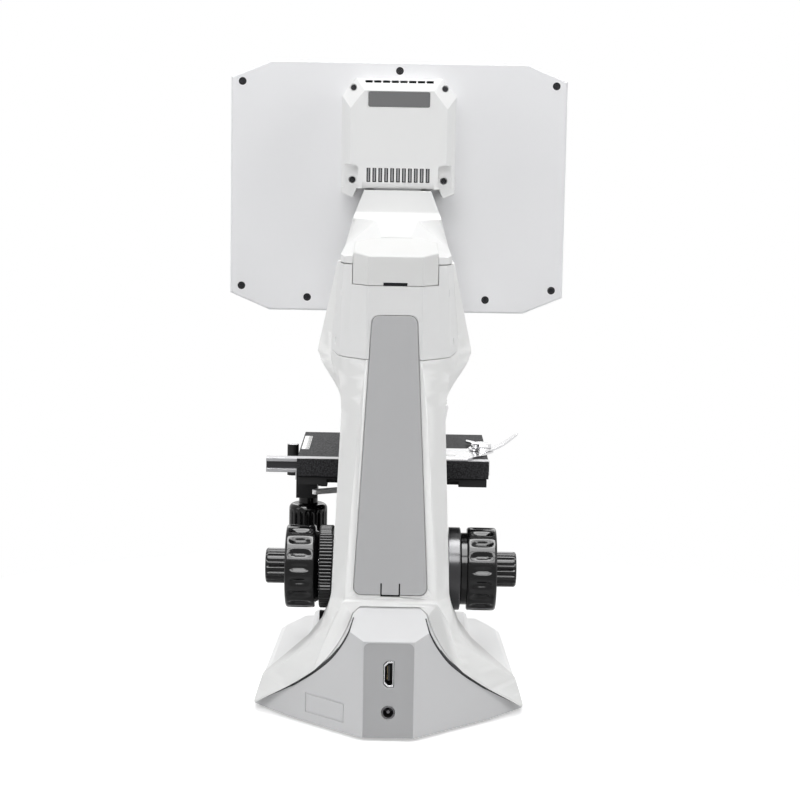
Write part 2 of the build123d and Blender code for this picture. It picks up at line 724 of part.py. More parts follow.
def connector_profile(grow):
    """Elevation of the connector cover: narrow at its top, wide along the floor."""
    points = [(CONNECTOR_TOP_X, CONNECTOR_TOP_Z - 3.5), (24.8, 61.5), (29.2, 53.0), (35.8, 43.5), (45.2, 33.8),
              (63.1, 18.8), (CORNER_X - 1.0, 5.0)]
    right = Spline(*[(x + grow, ARM_FRONT_Y, z) for x, z in points])
    left = right.mirror(Plane.YZ)
    corner = CONNECTOR_TOP_X - 4
    top_z = CONNECTOR_TOP_Z + grow
    top = Polyline(left @ 0, (-corner, ARM_FRONT_Y, top_z), (corner, ARM_FRONT_Y, top_z), right @ 0)
    toe = CORNER_X + 1.0 + grow
    floor = Polyline(right @ 1, (toe, ARM_FRONT_Y, 4.6), (toe, ARM_FRONT_Y, FOOT_GAP), (-toe, ARM_FRONT_Y, FOOT_GAP),
                     (-toe, ARM_FRONT_Y, 4.6), left @ 1)
    return make_face([top, right, floor, left])


def connector_body(grow, inset=0.0):
    """Outer form of the connector cover, which leans back above its brow."""
    body = extrude(connector_profile(grow - inset), amount=TAIL_Y - ARM_FRONT_Y, dir=(0, 1, 0))
    body &= prism_z(tail_outline(inset), 0, COLUMN_FOOT_Z)
    lean = [(ARM_FRONT_Y, 0), (TAIL_Y - inset, 0), (TAIL_Y - inset, CONNECTOR_BROW_Z - inset),
            (ARM_REAR_Y - inset, CONNECTOR_TOP_Z + grow - inset), (ARM_FRONT_Y, CONNECTOR_TOP_Z + grow - inset)]
    return body & prism_x(lean, -CORNER_X, CORNER_X)


def upper_cover_zone(grow):
    """Side region of the upper cover, with a round lower front corner."""
    low, front = UPPER_COVER_BOTTOM_Z - grow, HEAD_SIDE_Y - grow
    zone = prism_x([(front, HEAD_TOP_Z + 4), (front, low), (ARM_REAR_Y + 5, low), (ARM_REAR_Y + 5, HEAD_TOP_Z + 4)],
                   -HEAD_RIM[0], HEAD_RIM[0])
    corner = [e for e in zone.edges().filter_by(Axis.X) if e.center().Z < low + 1 and e.center().Y < front + 1]
    return fillet(corner, UPPER_COVER_CORNER_R)


def head_solid(inset=0.0):
    return loft_z(head_section(HEAD_Z, inset), HEAD_Z, head_section(HEAD_TOP_Z, inset), HEAD_TOP_Z)


def cap_outline(grow):
    return both_sides([(HEAD_FLAT[1] + grow * 0.4, ARM_REAR_Y + grow), (HEAD_EDGE[1] + grow, HEAD_EDGE_Y + grow),
                       (HEAD_EDGE[1] + grow, CAP_FRONT_Y + 12 - grow), (CAP_NOSE_X + grow * 0.4, CAP_FRONT_Y - grow)])


def under_roof(grow):
    """Everything below the seam between the head and its top cover, which climbs to the rear."""
    low, high = ROOF_SEAM_FRONT_Z + grow, ROOF_SEAM_REAR_Z + grow
    front, rear = HEAD_FRONT_Y - 1, ARM_REAR_Y + 1
    return prism_x([(front, FOOT_GAP), (front, low), (rear, high), (rear, FOOT_GAP)], -CORNER_X - 1, CORNER_X + 1)


def shaft_x():
    return ARM_FLAT_NECK_X - ARM_WALL


def focus_bores(casting):
    """The carriage's pocket and the bore of the focus shaft, through the housing and the arm behind it."""
    casting -= block(-HOUSING_CAVITY_X, HOUSING_CAVITY_X, HOUSING_FRONT_Y - 1, FOCUS_Y + PINION_R + 3,
                     WING_TOP + HOUSING_FLOOR, HOUSING_TOP_Z + 1)
    return casting - rod_x(-RING_X1 - 1, RING_X1 + 1, FOCUS_Y, FOCUS_Z, COARSE_SHAFT_R + BUSH_T)


def light_path(casting):
    """Tube bore, camera chamber and the cable way from it to the arm's shaft."""
    casting -= rod_z(0, 0, HEAD_Z - 20, TUBE_TOP_Z + 1, TUBE_R)
    casting -= block(-CHAMBER_X, CHAMBER_X, -CHAMBER_Y, CHAMBER_Y, TUBE_TOP_Z, HEAD_TOP_Z + 1)
    return casting - block(-shaft_x() / 2, shaft_x() / 2, CHAMBER_Y - 1, ARM_FRONT_Y + 13, ROOF_SEAM_FRONT_Z - 8, HEAD_TOP_Z + 1)


def arm_casting():
    column = loft_z(column_section(COLUMN_FOOT_Z), COLUMN_FOOT_Z, column_section(ARM_NECK_Z), ARM_NECK_Z)
    rear_head = head_solid() & block(-HEAD_RIM[0] - 1, HEAD_RIM[0] + 1, HEAD_RIM_Y, ARM_REAR_Y + 1, HEAD_Z - 1, HEAD_TOP_Z + 1)
    casting = (column + flare() + rear_head + skirt()) & under_roof(0)
    # wiring shaft inside the column, open to the rear under the access cover and down to the base
    casting -= block(-shaft_x(), shaft_x(), ARM_FRONT_Y + 12, ARM_REAR_Y - ARM_WALL, FOOT_GAP + 1, HEAD_TOP_Z + 1)
    casting -= access_prism(SEAM, ARM_REAR_Y - ACCESS_T + ACCESS_PROUD, ARM_REAR_Y + 1)
    casting -= access_prism(-ACCESS_LEDGE, ARM_REAR_Y - ARM_WALL - 1, ARM_REAR_Y + 1)
    casting -= block(-LATCH_X - LATCH_SLOT, LATCH_X + LATCH_SLOT, ARM_REAR_Y - ACCESS_T, ARM_REAR_Y + 1,
                     ACCESS_BOTTOM_Z - SEAM - LATCH_SLOT, ACCESS_BOTTOM_Z + 1)
    # room for the upper cover, which lies over the back of the head
    casting -= upper_cover_zone(SEAM) - head_solid(UPPER_COVER_T)
    # room for the connector cover, with the hollow behind it, and for the bottom plate
    connector = extrude(connector_profile(SEAM), amount=TAIL_Y - ARM_FRONT_Y + 1, dir=(0, 1, 0))
    casting -= connector & block(-CORNER_X - 2, CORNER_X + 2, ARM_FRONT_Y + ARM_WALL, TAIL_Y + 1, 0, COLUMN_FOOT_Z)
    casting -= block(-shaft_x(), shaft_x(), ARM_FRONT_Y - 1, ARM_FRONT_Y + 13, FOOT_GAP, WING_TOP - BASE_WALL)
    casting -= plate_room()
    # flat seats for the two rings, and the bosses that they turn on
    boss_x = RING_X1 - LIMIT_RING_T / 2
    for s in (1, -1):
        face_x, far_x = s * (RING_X0 - SLIDE), s * (COARSE_X1 + 1)
        casting -= rod_x(min(face_x, far_x), max(face_x, far_x), FOCUS_Y, FOCUS_Z, RING_R + SLIDE)
        low, high = sorted((s * HOUSING_X, s * boss_x))
        casting += rod_x(low, high, FOCUS_Y, FOCUS_Z, RING_BORE_R - RUN)
    casting = light_path(focus_bores(casting))
    return largest(casting - cover_screw_holes(SCREW_R))


def focus_housing():
    """Box in front of the column that holds the focus carriage and its rails."""
    housing = block(-HOUSING_X, HOUSING_X, HOUSING_FRONT_Y, ARM_FRONT_Y, WING_TOP, HOUSING_TOP_Z)
    housing -= rod_x(HOUSING_X - 5, HOUSING_X + 1, DIMMER_Y, DIMMER_Z, DIMMER_SHAFT_R)
    return largest(focus_bores(housing))


def head_casting():
    """Front of the head, which carries the nosepiece, the camera and the screen's neck."""
    room = block(-HEAD_RIM[0] - 1, HEAD_RIM[0] + 1, HEAD_FRONT_Y - 1, HEAD_RIM_Y, HEAD_Z - HEAD_LIP - 1, HEAD_TOP_Z + 1)
    casting = head_solid() + prism_z(head_section(HEAD_Z), HEAD_Z - HEAD_LIP, HEAD_Z)
    casting = casting & room & under_roof(0)
    # the nosepiece hangs in a pocket that follows its tilt
    pocket = Box(2 * (TURRET_R + 6), 2 * (TURRET_R + 40), 60).moved(Location((0, -40, TURRET_T + MOUNT_T - 30)))
    pocket = pocket.moved(turret_frame())
    pocket &= block(-TURRET_R - 5, TURRET_R + 5, HEAD_FRONT_Y - 5, HEAD_RIM_Y - 1, 150, HEAD_TOP_Z)
    return largest(light_path(casting - pocket))


def largest(shape):
    return max(shape.solids(), key=lambda s: s.volume)


def cover_screw_spots():
    """Screws through the sides of the upper cover: (x at the outer face, y, z)."""
    spots = []
    for y, z in ((100.0, UPPER_COVER_BOTTOM_Z + 37.0), (88.0, UPPER_COVER_BOTTOM_Z + 7.0)):
        corner, side = head_half(z)[2], head_half(z)[3]
        along = (y - corner[1]) / (side[1] - corner[1])
        spots.append((corner[0] + along * (side[0] - corner[0]), y, z))
    return spots


def cover_screw_holes(r):
    holes = []
    for x, y, z in cover_screw_spots():
        holes.append(rod_x(x - COVER_SCREW_L, x + 3, y, z, r))
        holes.append(rod_x(-x - 3, -x + COVER_SCREW_L, y, z, r))
    return holes


def arm_cover_screws():
    screws = []
    for x, y, z in cover_screw_spots():
        head_x = x - COVER_SCREW_HEAD_T - 0.4
        for s in (1, -1):
            low, high = sorted((s * head_x, s * (head_x + COVER_SCREW_HEAD_T)))
            tip, root = sorted((s * (x - COVER_SCREW_L), s * (head_x + 0.1)))
            head = rod_x(low, high, y, z, COVER_SCREW_HEAD_R)
            screws.append((head + rod_x(tip, root, y, z, SCREW_R)).solid())
    return Compound(screws)


def upper_arm_cover():
    cover = (head_solid() & upper_cover_zone(0)) - head_solid(UPPER_COVER_T)
    cover &= under_roof(-SEAM)
    cover -= prism_z(cap_outline(SEAM), UPPER_COVER_TOP_Z, HEAD_TOP_Z + 1)
    cover -= access_prism(SEAM, ARM_REAR_Y - UPPER_COVER_T - 1, ARM_REAR_Y + 1)
    for x, y, z in cover_screw_spots():
        head_x = x - COVER_SCREW_HEAD_T - 0.4
        cover -= rod_x(head_x, x + 3, y, z, COVER_SCREW_HEAD_R + 0.1)
        cover -= rod_x(-x - 3, -head_x, y, z, COVER_SCREW_HEAD_R + 0.1)
    cover -= cover_screw_holes(SCREW_R)
    return largest(cover)


def rear_access_cover():
    panel = access_prism(0, ARM_REAR_Y - ACCESS_T + ACCESS_PROUD, ARM_REAR_Y + ACCESS_PROUD)
    z0 = ACCESS_BOTTOM_Z
    for s in (1, -1):
        low, high = sorted((s * LATCH_X, s * (LATCH_X + LATCH_SLOT)))
        panel -= block(low, high, ARM_REAR_Y - ACCESS_T, ARM_REAR_Y + 2, z0 - 1, z0 + LATCH_H)
    return panel


def frame_line():
    """Thin engraved outline on the wall beside the sockets."""
    turn = math.degrees(math.atan2(HIP_Y - TAIL_Y, HIP_X - TAIL_X))
    outline = Box(FRAME_W, 2 * FRAME_SINK, FRAME_H) - Box(FRAME_W - 2 * FRAME_LINE, 4 * FRAME_SINK, FRAME_H - 2 * FRAME_LINE)
    return outline.moved(Location((TAIL_X, TAIL_Y, FRAME_Z), (0, 0, turn)) * Location((FRAME_ALONG, 0, 0)))


def rear_connector_cover():
    cover = connector_body(0) - connector_body(0, CONNECTOR_WALL)
    cover -= block(-CORNER_X - 1, CORNER_X + 1, ARM_FRONT_Y - 1, ARM_FRONT_Y + ARM_WALL + SEAM, 0, COLUMN_FOOT_Z)
    cover -= block(-HIP_X, HIP_X, ARM_FRONT_Y, ARM_REAR_Y - 22, 0, COLUMN_FOOT_Z)
    strip = block(-STRIP_X, STRIP_X, TAIL_Y - STRIP_SINK, TAIL_Y + 1, FOOT_GAP - 1, STRIP_TOP_Z)
    cover -= fillet([e for e in strip.edges().filter_by(Axis.Y) if e.center().Z > STRIP_TOP_Z - 1], STRIP_R)
    cover -= frame_line()
    opening = block(-HDMI_W / 2 - SEAM, HDMI_W / 2 + SEAM, TAIL_Y - CONNECTOR_WALL - 1, TAIL_Y + 1, HDMI_Z0 - SEAM, HDMI_Z1 + SEAM)
    cover -= chamfer([e for e in opening.edges().filter_by(Axis.Y) if e.center().X > 0], HDMI_CHAMFER)
    cover -= rod_y(0, TAIL_Y - CONNECTOR_WALL - 1, TAIL_Y + 1, DC_Z, DC_SHELL_R + SEAM / 2)
    return largest(cover)


def connector_board():
    y1 = TAIL_Y - CONNECTOR_WALL - HDMI_DEPTH
    board = block(-CONNECTOR_BOARD_X, CONNECTOR_BOARD_X, y1 - PCB_T, y1, 6.0, 56.0)
    for s in (1, -1):
        board += rod_y(s * (TAIL_X - 5), y1 - 0.5, TAIL_Y - CONNECTOR_WALL, 52.0, 2.5)
        board += rod_y(s * (TAIL_X - 5), y1 - 0.5, TAIL_Y - CONNECTOR_WALL, 10.0, 2.5)
    return board


def hdmi_receptacle():
    y1 = TAIL_Y - 0.6
    y0 = TAIL_Y - CONNECTOR_WALL - HDMI_DEPTH
    half = HDMI_W / 2
    shell = block(-half, half, y0, y1, HDMI_Z0, HDMI_Z1)
    shell = chamfer([e for e in shell.edges().filter_by(Axis.Y) if e.center().X > 0], HDMI_CHAMFER)
    mouth = block(-half + HDMI_WALL, half - HDMI_WALL, y0 + 2, y1 + 1, HDMI_Z0 + 2 * HDMI_WALL, HDMI_Z1 - 2 * HDMI_WALL)
    shell -= chamfer([e for e in mouth.edges().filter_by(Axis.Y) if e.center().X > 0], HDMI_CHAMFER)
    return shell + block(-HDMI_TONGUE / 2, HDMI_TONGUE / 2, y0 + 1, y1 - 3, HDMI_Z0 + 3, HDMI_Z1 - 3)


def dc_power_jack():
    y1 = TAIL_Y - 0.4
    y0 = TAIL_Y - CONNECTOR_WALL - HDMI_DEPTH
    shell = rod_y(0, y0, y1, DC_Z, DC_SHELL_R) - rod_y(0, y1 - DC_DEPTH, y1 + 1, DC_Z, DC_BORE_R)
    return shell + rod_y(0, y0 + 1, y1 - 1.5, DC_Z, DC_PIN_R)


def cap_under(drop):
    """Everything under the cap's top, which climbs to the front."""
    rear_z = UPPER_COVER_TOP_Z + CAP_T - drop
    low = UPPER_COVER_TOP_Z - 1
    return prism_x([(CAP_FRONT_Y - 1, low), (CAP_FRONT_Y - 1, rear_z + CAP_CLIMB), (ARM_REAR_Y + 1, rear_z), (ARM_REAR_Y + 1, low)],
                   -HEAD_RIM[0], HEAD_RIM[0])


def arm_cap():
    cap = prism_z(cap_outline(0), UPPER_COVER_TOP_Z + SEAM, NECK_FOOT_Z) & cap_under(0)
    top = [e for e in cap.edges() if e.center().Z > UPPER_COVER_TOP_Z + CAP_T - 1 and e.length > 8]
    cap = fillet(top, 1.0)
    z0 = UPPER_COVER_TOP_Z
    cap -= block(-CAP_SLOT_X, CAP_SLOT_X, ARM_REAR_Y - CAP_SLOT_D, ARM_REAR_Y + 1, z0, z0 + SEAM + CAP_SLOT_H)
    cap -= head_solid(UPPER_COVER_T) & under_roof(0)
    cap -= prism_z(cap_outline(-COVER_WALL), ROOF_SEAM_REAR_Z - 3, NECK_FOOT_Z) & cap_under(COVER_WALL)
    return largest(cap)


def roof_body(inset=0.0):
    """Hipped roof of the head: a platform at the neck's foot, then a ridge that narrows to the rear."""
    faces = []
    for y, ridge_x, ridge_z in RIDGE:
        half = [(ridge_x - inset, ridge_z - inset), (EAVES_X - 1.5 * inset, EAVES_Z - inset),
                (HEAD_RIM[1] - 1.5 * inset, UPPER_COVER_TOP_Z)]
        y = min(max(y, HEAD_FRONT_Y + inset), ARM_REAR_Y - inset)
        faces.append(make_face(Polyline(*[(x, y, z) for x, z in both_sides(half)], close=True)))
    return loft(faces, ruled=True)


def head_top_cover():
    plan = head_section(HEAD_TOP_Z)
    neck_side = [(NECK_REAR_Y, UPPER_COVER_TOP_Z), (NECK_REAR_Y, NECK_TOP_Z), (HEAD_FRONT_Y, NECK_TOP_Z),
                 (HEAD_FRONT_Y, UPPER_COVER_TOP_Z)]
    neck_front = both_sides([(HEAD_RIM[1], UPPER_COVER_TOP_Z), (NECK_FOOT_X, NECK_FOOT_Z), (NECK_TOP_X, NECK_TOP_Z)])
    tower = prism_x(neck_side, -HEAD_RIM[0], HEAD_RIM[0]) & prism_y(neck_front, HEAD_FRONT_Y, NECK_REAR_Y)
    foot_z = RIDGE[2][2]
    curve = [(NECK_REAR_Y - 1, foot_z - 1), (NECK_REAR_Y - 1, foot_z + NECK_FILLET), (NECK_REAR_Y, foot_z + NECK_FILLET),
             (NECK_REAR_Y + NECK_FILLET * 0.2, foot_z + NECK_FILLET * 0.5),
             (NECK_REAR_Y + NECK_FILLET * 0.55, foot_z + NECK_FILLET * 0.2), (ROOF_FRONT_Y, foot_z), (ROOF_FRONT_Y, foot_z - 1)]
    cove = prism_x(curve, -NECK_FOOT_X, NECK_FOOT_X) & prism_y(neck_front, NECK_REAR_Y - 1, ROOF_FRONT_Y)
    cover = (tower + roof_body() + cove) & prism_z(plan, UPPER_COVER_TOP_Z, NECK_TOP_Z)
    cover -= prism_z(cap_outline(CAP_GAP), UPPER_COVER_TOP_Z - 1, NECK_TOP_Z)
    cover -= under_roof(0)
    cover -= under_roof(SEAM) - prism_z(head_section(HEAD_TOP_Z, 2 * SEAM), FOOT_GAP, NECK_TOP_Z)
    cover -= roof_body(COVER_WALL) & block(-HEAD_RIM[0], HEAD_RIM[0], HEAD_FRONT_Y, CAP_FRONT_Y - 4, UPPER_COVER_TOP_Z, NECK_TOP_Z)
    cover -= prism_y([(NECK_TOP_X - 3, NECK_TOP_Z - COVER_WALL), (-NECK_TOP_X + 3, NECK_TOP_Z - COVER_WALL),
                      (-NECK_TOP_X + 3, foot_z - 4), (NECK_TOP_X - 3, foot_z - 4)],
                     HEAD_FRONT_Y + COVER_WALL, NECK_REAR_Y - COVER_WALL)
    cover -= block(-HINGE_X - 0.1, HINGE_X + 0.1, hinge_y() - 6.6, hinge_y() - 6.4 + HINGE_WEB_T, NECK_TOP_Z - 5, NECK_TOP_Z + 1)
    return largest(cover)


# ---- optics -----------------------------------------------------------------------------------
def tube_lens_cell():
    cell = rod_z(0, 0, TUBE_CELL_Z, TUBE_CELL_Z + TUBE_CELL_H, TUBE_R)
    cell -= rod_z(0, 0, TUBE_CELL_Z - 1, TUBE_CELL_Z + TUBE_CELL_H + 1, TUBE_LENS_R - 1.5)
    return cell - rod_z(0, 0, TUBE_CELL_Z + 4, TUBE_CELL_Z + 4 + TUBE_LENS_T, TUBE_LENS_R)


def tube_lens():
    lens = rod_z(0, 0, TUBE_CELL_Z + 4, TUBE_CELL_Z + 4 + TUBE_LENS_T, TUBE_LENS_R)
    bulge = Sphere(TUBE_LENS_R * 2.2)
    low = bulge.moved(Location((0, 0, TUBE_CELL_Z + 4 + TUBE_LENS_R * 2.2)))
    return (lens & low).solid()


def camera_board():
    board = block(-CAMERA_X, CAMERA_X, -CAMERA_X, CAMERA_X, TUBE_TOP_Z + CAMERA_SENSOR_T, TUBE_TOP_Z + CAMERA_SENSOR_T + CAMERA_T)
    board += block(-CAMERA_SENSOR, CAMERA_SENSOR, -CAMERA_SENSOR, CAMERA_SENSOR, TUBE_TOP_Z + 0.6, TUBE_TOP_Z + CAMERA_SENSOR_T + 0.1)
    for sx in (1, -1):
        for sy in (1, -1):
            board += rod_z(sx * (CAMERA_X - 3), sy * (CAMERA_X - 3), TUBE_TOP_Z, TUBE_TOP_Z + CAMERA_SENSOR_T + 0.1, 2.2)
    return board


def nosepiece_mount():
    frame = turret_frame()
    disc = Cylinder(MOUNT_R, MOUNT_T - SLIDE).moved(Location((0, 0, TURRET_T + SLIDE + (MOUNT_T - SLIDE) / 2)))
    axle = Cylinder(TURRET_HUB_R - RUN, TURRET_T + 1.0).moved(Location((0, 0, (TURRET_T + 1.0) / 2)))
    keeper_t = TURRET_BOSS - SLIDE
    keeper = Cylinder(TURRET_PITCH_R - OBJECTIVE_COLLAR_R - 1.0, keeper_t).moved(Location((0, 0, keeper_t / 2)))
    mount = (disc + axle + keeper).moved(frame)
    return mount - rod_z(0, 0, SHOULDER_Z - 5, HEAD_TOP_Z, LIGHT_BORE_R)


def nosepiece_turret():
    middle = Location((0, 0, (TURRET_T + TURRET_BOSS) / 2))
    turret = Cylinder(TURRET_R - 1.5, TURRET_T - TURRET_BOSS).moved(middle)
    turret += fluted(TURRET_R, TURRET_T - TURRET_BOSS - 2, TURRET_FLUTES, 1.0, 0.7).moved(middle)
    for i in range(len(OBJECTIVE_NAMES)):
        turret += objective_at(i, Cylinder(OBJECTIVE_COLLAR_R, 8).moved(Location((0, 0, 4))))
    turret -= Cylinder(TURRET_HUB_R, 2 * TURRET_T)
    for i in range(len(OBJECTIVE_NAMES)):
        turret -= objective_at(i, Cylinder(OBJECTIVE_THREAD_R, 60))
    return largest(turret.moved(turret_frame()))


def objective_at(i, shape):
    """Carry a shape built about the working axis, shoulder at z = 0, to place i of the turret."""
    at_turret = Location((0, -TURRET_PITCH_R, 0)) * Location((0, 0, 0), (-TURRET_TILT, 0, 0))
    return shape.moved(Location((0, 0, 0), (0, 0, 90 * i)) * at_turret)


def objective(i):
    length = OBJECTIVE_LENGTHS[i]
    tip = OBJECTIVE_TIP_R[i]
    cone = 0.38 * length
    profile = [(0, OBJECTIVE_THREAD_L), (OBJECTIVE_THREAD_R, OBJECTIVE_THREAD_L), (OBJECTIVE_THREAD_R, 0),
               (OBJECTIVE_COLLAR_R, 0), (OBJECTIVE_COLLAR_R, -5), (OBJECTIVE_BODY_R, -6),
               (OBJECTIVE_BODY_R, -(length - cone)), (tip + 1.4, -(length - 3)), (tip, -length), (0, -length)]
    face = make_face(Polyline(*[(r, 0, z) for r, z in profile], close=True))
    body = revolve(face, Axis.Z)
    body -= Cylinder(tip * 0.6, 3).moved(Location((0, 0, -length)))
    return objective_at(i, body).moved(turret_frame())


# ---- lamp house -------------------------------------------------------------------------------
def dais_top():
    return WING_TOP + DAIS_RISE


def collector_housing():
    low, high = dais_top(), LAMP_HOUSE_TOP_Z
    house = rod_z(0, 0, low, high, LAMP_HOUSE_R)
    house = chamfer([e for e in house.edges() if e.center().Z > high - 0.01], 4.0)
    house -= rod_z(0, 0, low - 1, high - FILTER_SEAT_D - COLLECTOR_T, LAMP_HOUSE_R - LAMP_HOUSE_WALL)
    house -= rod_z(0, 0, low, high + 1, COLLECTOR_R - 2)
    house -= rod_z(0, 0, high - FILTER_SEAT_D - COLLECTOR_T + 1, high + 1, COLLECTOR_R)
    return house - rod_z(0, 0, high - FILTER_SEAT_D, high + 1, FILTER_SEAT_R)


def collector_lens():
    z0 = LAMP_HOUSE_TOP_Z - FILTER_SEAT_D - COLLECTOR_T + 1
    lens = rod_z(0, 0, z0, z0 + COLLECTOR_T - 1, COLLECTOR_R)
    ball = Sphere(COLLECTOR_R * 2).moved(Location((0, 0, z0 + COLLECTOR_T - 1 - COLLECTOR_R * 2)))
    return (lens & ball).solid()


def led_module():
    z0 = dais_top()
    board = rod_z(0, 0, z0, z0 + LED_BOARD_T, LED_BOARD_R)
    sink = rod_z(0, 0, z0 - 6, z0 + 0.1, LED_BOARD_R - 7)
    chip = rod_z(0, 0, z0 + LED_BOARD_T - 0.1, z0 + LED_BOARD_T + 1.5, LED_DOME_R)
    return board + sink + chip + Sphere(LED_DOME_R - 1).moved(Location((0, 0, z0 + LED_BOARD_T + 1.5)))


def dimmer_knob():
    grip = fluted(DIMMER_R, DIMMER_W, DIMMER_TEETH, 0.7, 0.5)
    knob = grip.moved(Location((HOUSING_X + SLIDE + DIMMER_W / 2, DIMMER_Y, DIMMER_Z), (0, 90, 0)))
    return knob + rod_x(HOUSING_X - 4, HOUSING_X + SLIDE + 1, DIMMER_Y, DIMMER_Z, DIMMER_SHAFT_R - RUN)


# ---- focus drive ------------------------------------------------------------------------------
def shaft_bushings():
    bushes = []
    boss_x = RING_X1 - LIMIT_RING_T / 2
    for s in (1, -1):
        x0, x1 = sorted((s * (HOUSING_CAVITY_X + 0.5), s * boss_x))
        bush = rod_x(x0, x1, FOCUS_Y, FOCUS_Z, COARSE_SHAFT_R + BUSH_T)
        bushes.append((bush - rod_x(x0 - 1, x1 + 1, FOCUS_Y, FOCUS_Z, COARSE_SHAFT_R + RUN)).solid())
    return Compound(bushes)


def coarse_shaft():
    shaft = rod_x(-COARSE_X1 + 4, COARSE_X1 - 4, FOCUS_Y, FOCUS_Z, COARSE_SHAFT_R)
    teeth = gear(PINION_R, PINION_TEETH, PINION_W).moved(Location((-PINION_W / 2, FOCUS_Y, FOCUS_Z), (0, 90, 0)))
    relief = rod_x(-PINION_W / 2 - 3, PINION_W / 2 + 3, FOCUS_Y, FOCUS_Z, COARSE_SHAFT_R + 1)
    relief -= rod_x(-PINION_W / 2 - 4, PINION_W / 2 + 4, FOCUS_Y, FOCUS_Z, PINION_R - TOOTH_HEIGHT)
    shaft = shaft - relief + spin_to_mesh(teeth, PINION_TEETH)
    return shaft - rod_x(-COARSE_X1, COARSE_X1, FOCUS_Y, FOCUS_Z, FINE_SHAFT_R + RUN)


def spin_to_mesh(teeth, count):
    """Turn the pinion so that one tooth points at the rack, along -Y."""
    return teeth.rotate(Axis((0, FOCUS_Y, FOCUS_Z), (1, 0, 0)), mesh_turn(count))


def mesh_turn(count):
    """Degrees from the tooth at -Z, where gear() laid about X puts one, to -Y."""
    step = 360.0 / count
    return -(90.0 % step)


def coarse_knobs():
    knobs = []
    for s in (1, -1):
        length = COARSE_X1 - COARSE_X0
        grip = fluted(COARSE_R, length, COARSE_FLUTES, COARSE_FLUTE_R, 1.5, 0.8, 1.6)
        grip = grip.moved(Location((s * (COARSE_X0 + length / 2), FOCUS_Y, FOCUS_Z), (0, 90, 0)))
        x0, x1 = sorted((s * (RING_X1 + SLIDE), s * (COARSE_X0 + 1)))
        grip += rod_x(x0, x1, FOCUS_Y, FOCUS_Z, COARSE_GROOVE_R)
        x0, x1 = sorted((s * (COARSE_X1 - 4), s * (COARSE_X1 + 1)))
        grip -= rod_x(x0, x1, FOCUS_Y, FOCUS_Z, FINE_R + 1.0)
        x0, x1 = sorted((s * RING_X1, s * COARSE_X1))
        grip -= rod_x(x0, x1, FOCUS_Y, FOCUS_Z, COARSE_SHAFT_R)
        knobs.append(largest(grip))
    return Compound(knobs)


def fine_shaft():
    return rod_x(-FINE_X1 + 3, FINE_X1 - 3, FOCUS_Y, FOCUS_Z, FINE_SHAFT_R)


def fine_knobs():
    knobs = []
    for s in (1, -1):
        length = FINE_X1 - COARSE_X1 + 2.5
        grip = fluted(FINE_R, length, FINE_FLUTES, FINE_FLUTE_R, 0.9, 0.6)
        grip = grip.moved(Location((s * (FINE_X1 - length / 2), FOCUS_Y, FOCUS_Z), (0, 90, 0)))
        x0, x1 = sorted((s * (FINE_X1 - length - 1), s * (FINE_X1 - 3)))
        knobs.append(largest(grip - rod_x(x0, x1, FOCUS_Y, FOCUS_Z, FINE_SHAFT_R)))
    return Compound(knobs)


def tension_ring():
    width = RING_X1 - RING_X0
    ring = fluted(RING_R, width, RING_TEETH, RING_TOOTH, 0.9)
    ring = ring.moved(Location((RING_X0 + width / 2, FOCUS_Y, FOCUS_Z), (0, 90, 0)))
    return ring - rod_x(HOUSING_X - 1, RING_X1 + 1, FOCUS_Y, FOCUS_Z, RING_BORE_R)


def limit_ring():
    x1 = -RING_X0
    ring = rod_x(x1 - LIMIT_RING_T, x1, FOCUS_Y, FOCUS_Z, RING_R)
    ring = fillet([e for e in ring.edges() if e.center().X < x1 - LIMIT_RING_T + 0.01], 1.0)
    return ring - rod_x(x1 - LIMIT_RING_T - 1, x1 + 1, FOCUS_Y, FOCUS_Z, RING_BORE_R)


def focus_guide():
    """Two hardened rails on the walls of the focus housing."""
    rails = []
    for s in (1, -1):
        x0, x1 = sorted((s * (HOUSING_CAVITY_X - RAIL_W), s * HOUSING_CAVITY_X))
        rails.append(block(x0, x1, RAIL_FRONT_Y, RAIL_REAR_Y, RAIL_BOTTOM_Z, HOUSING_TOP_Z).solid())
    return Compound(rails)


def focus_carriage():
    half = HOUSING_CAVITY_X - RAIL_W - SLIDE
    block_rear = FOCUS_Y - PINION_R - TOOTH_HEIGHT - SLIDE
    body = block(-half, half, CARRIAGE_FRONT_Y, min(CARRIAGE_REAR_Y, block_rear), CARRIAGE_BOTTOM_Z, CARRIAGE_TOP_Z)
    return body - block(-PINION_W / 2 - 1, PINION_W / 2 + 1, CARRIAGE_REAR_Y - 5, FOCUS_Y, CARRIAGE_BOTTOM_Z - 1, CARRIAGE_TOP_Z + 1)


def focus_rack():
    pitch = 2 * math.pi * PINION_R / PINION_TEETH
    pitch_y = FOCUS_Y - PINION_R
    points = rack_teeth(pitch, 2 * int(30 / pitch) * pitch, pitch_y - (CARRIAGE_REAR_Y - 5))
    bar = prism_x([(pitch_y + v, FOCUS_Z + u) for u, v in points], -PINION_W / 2, PINION_W / 2)
    return bar


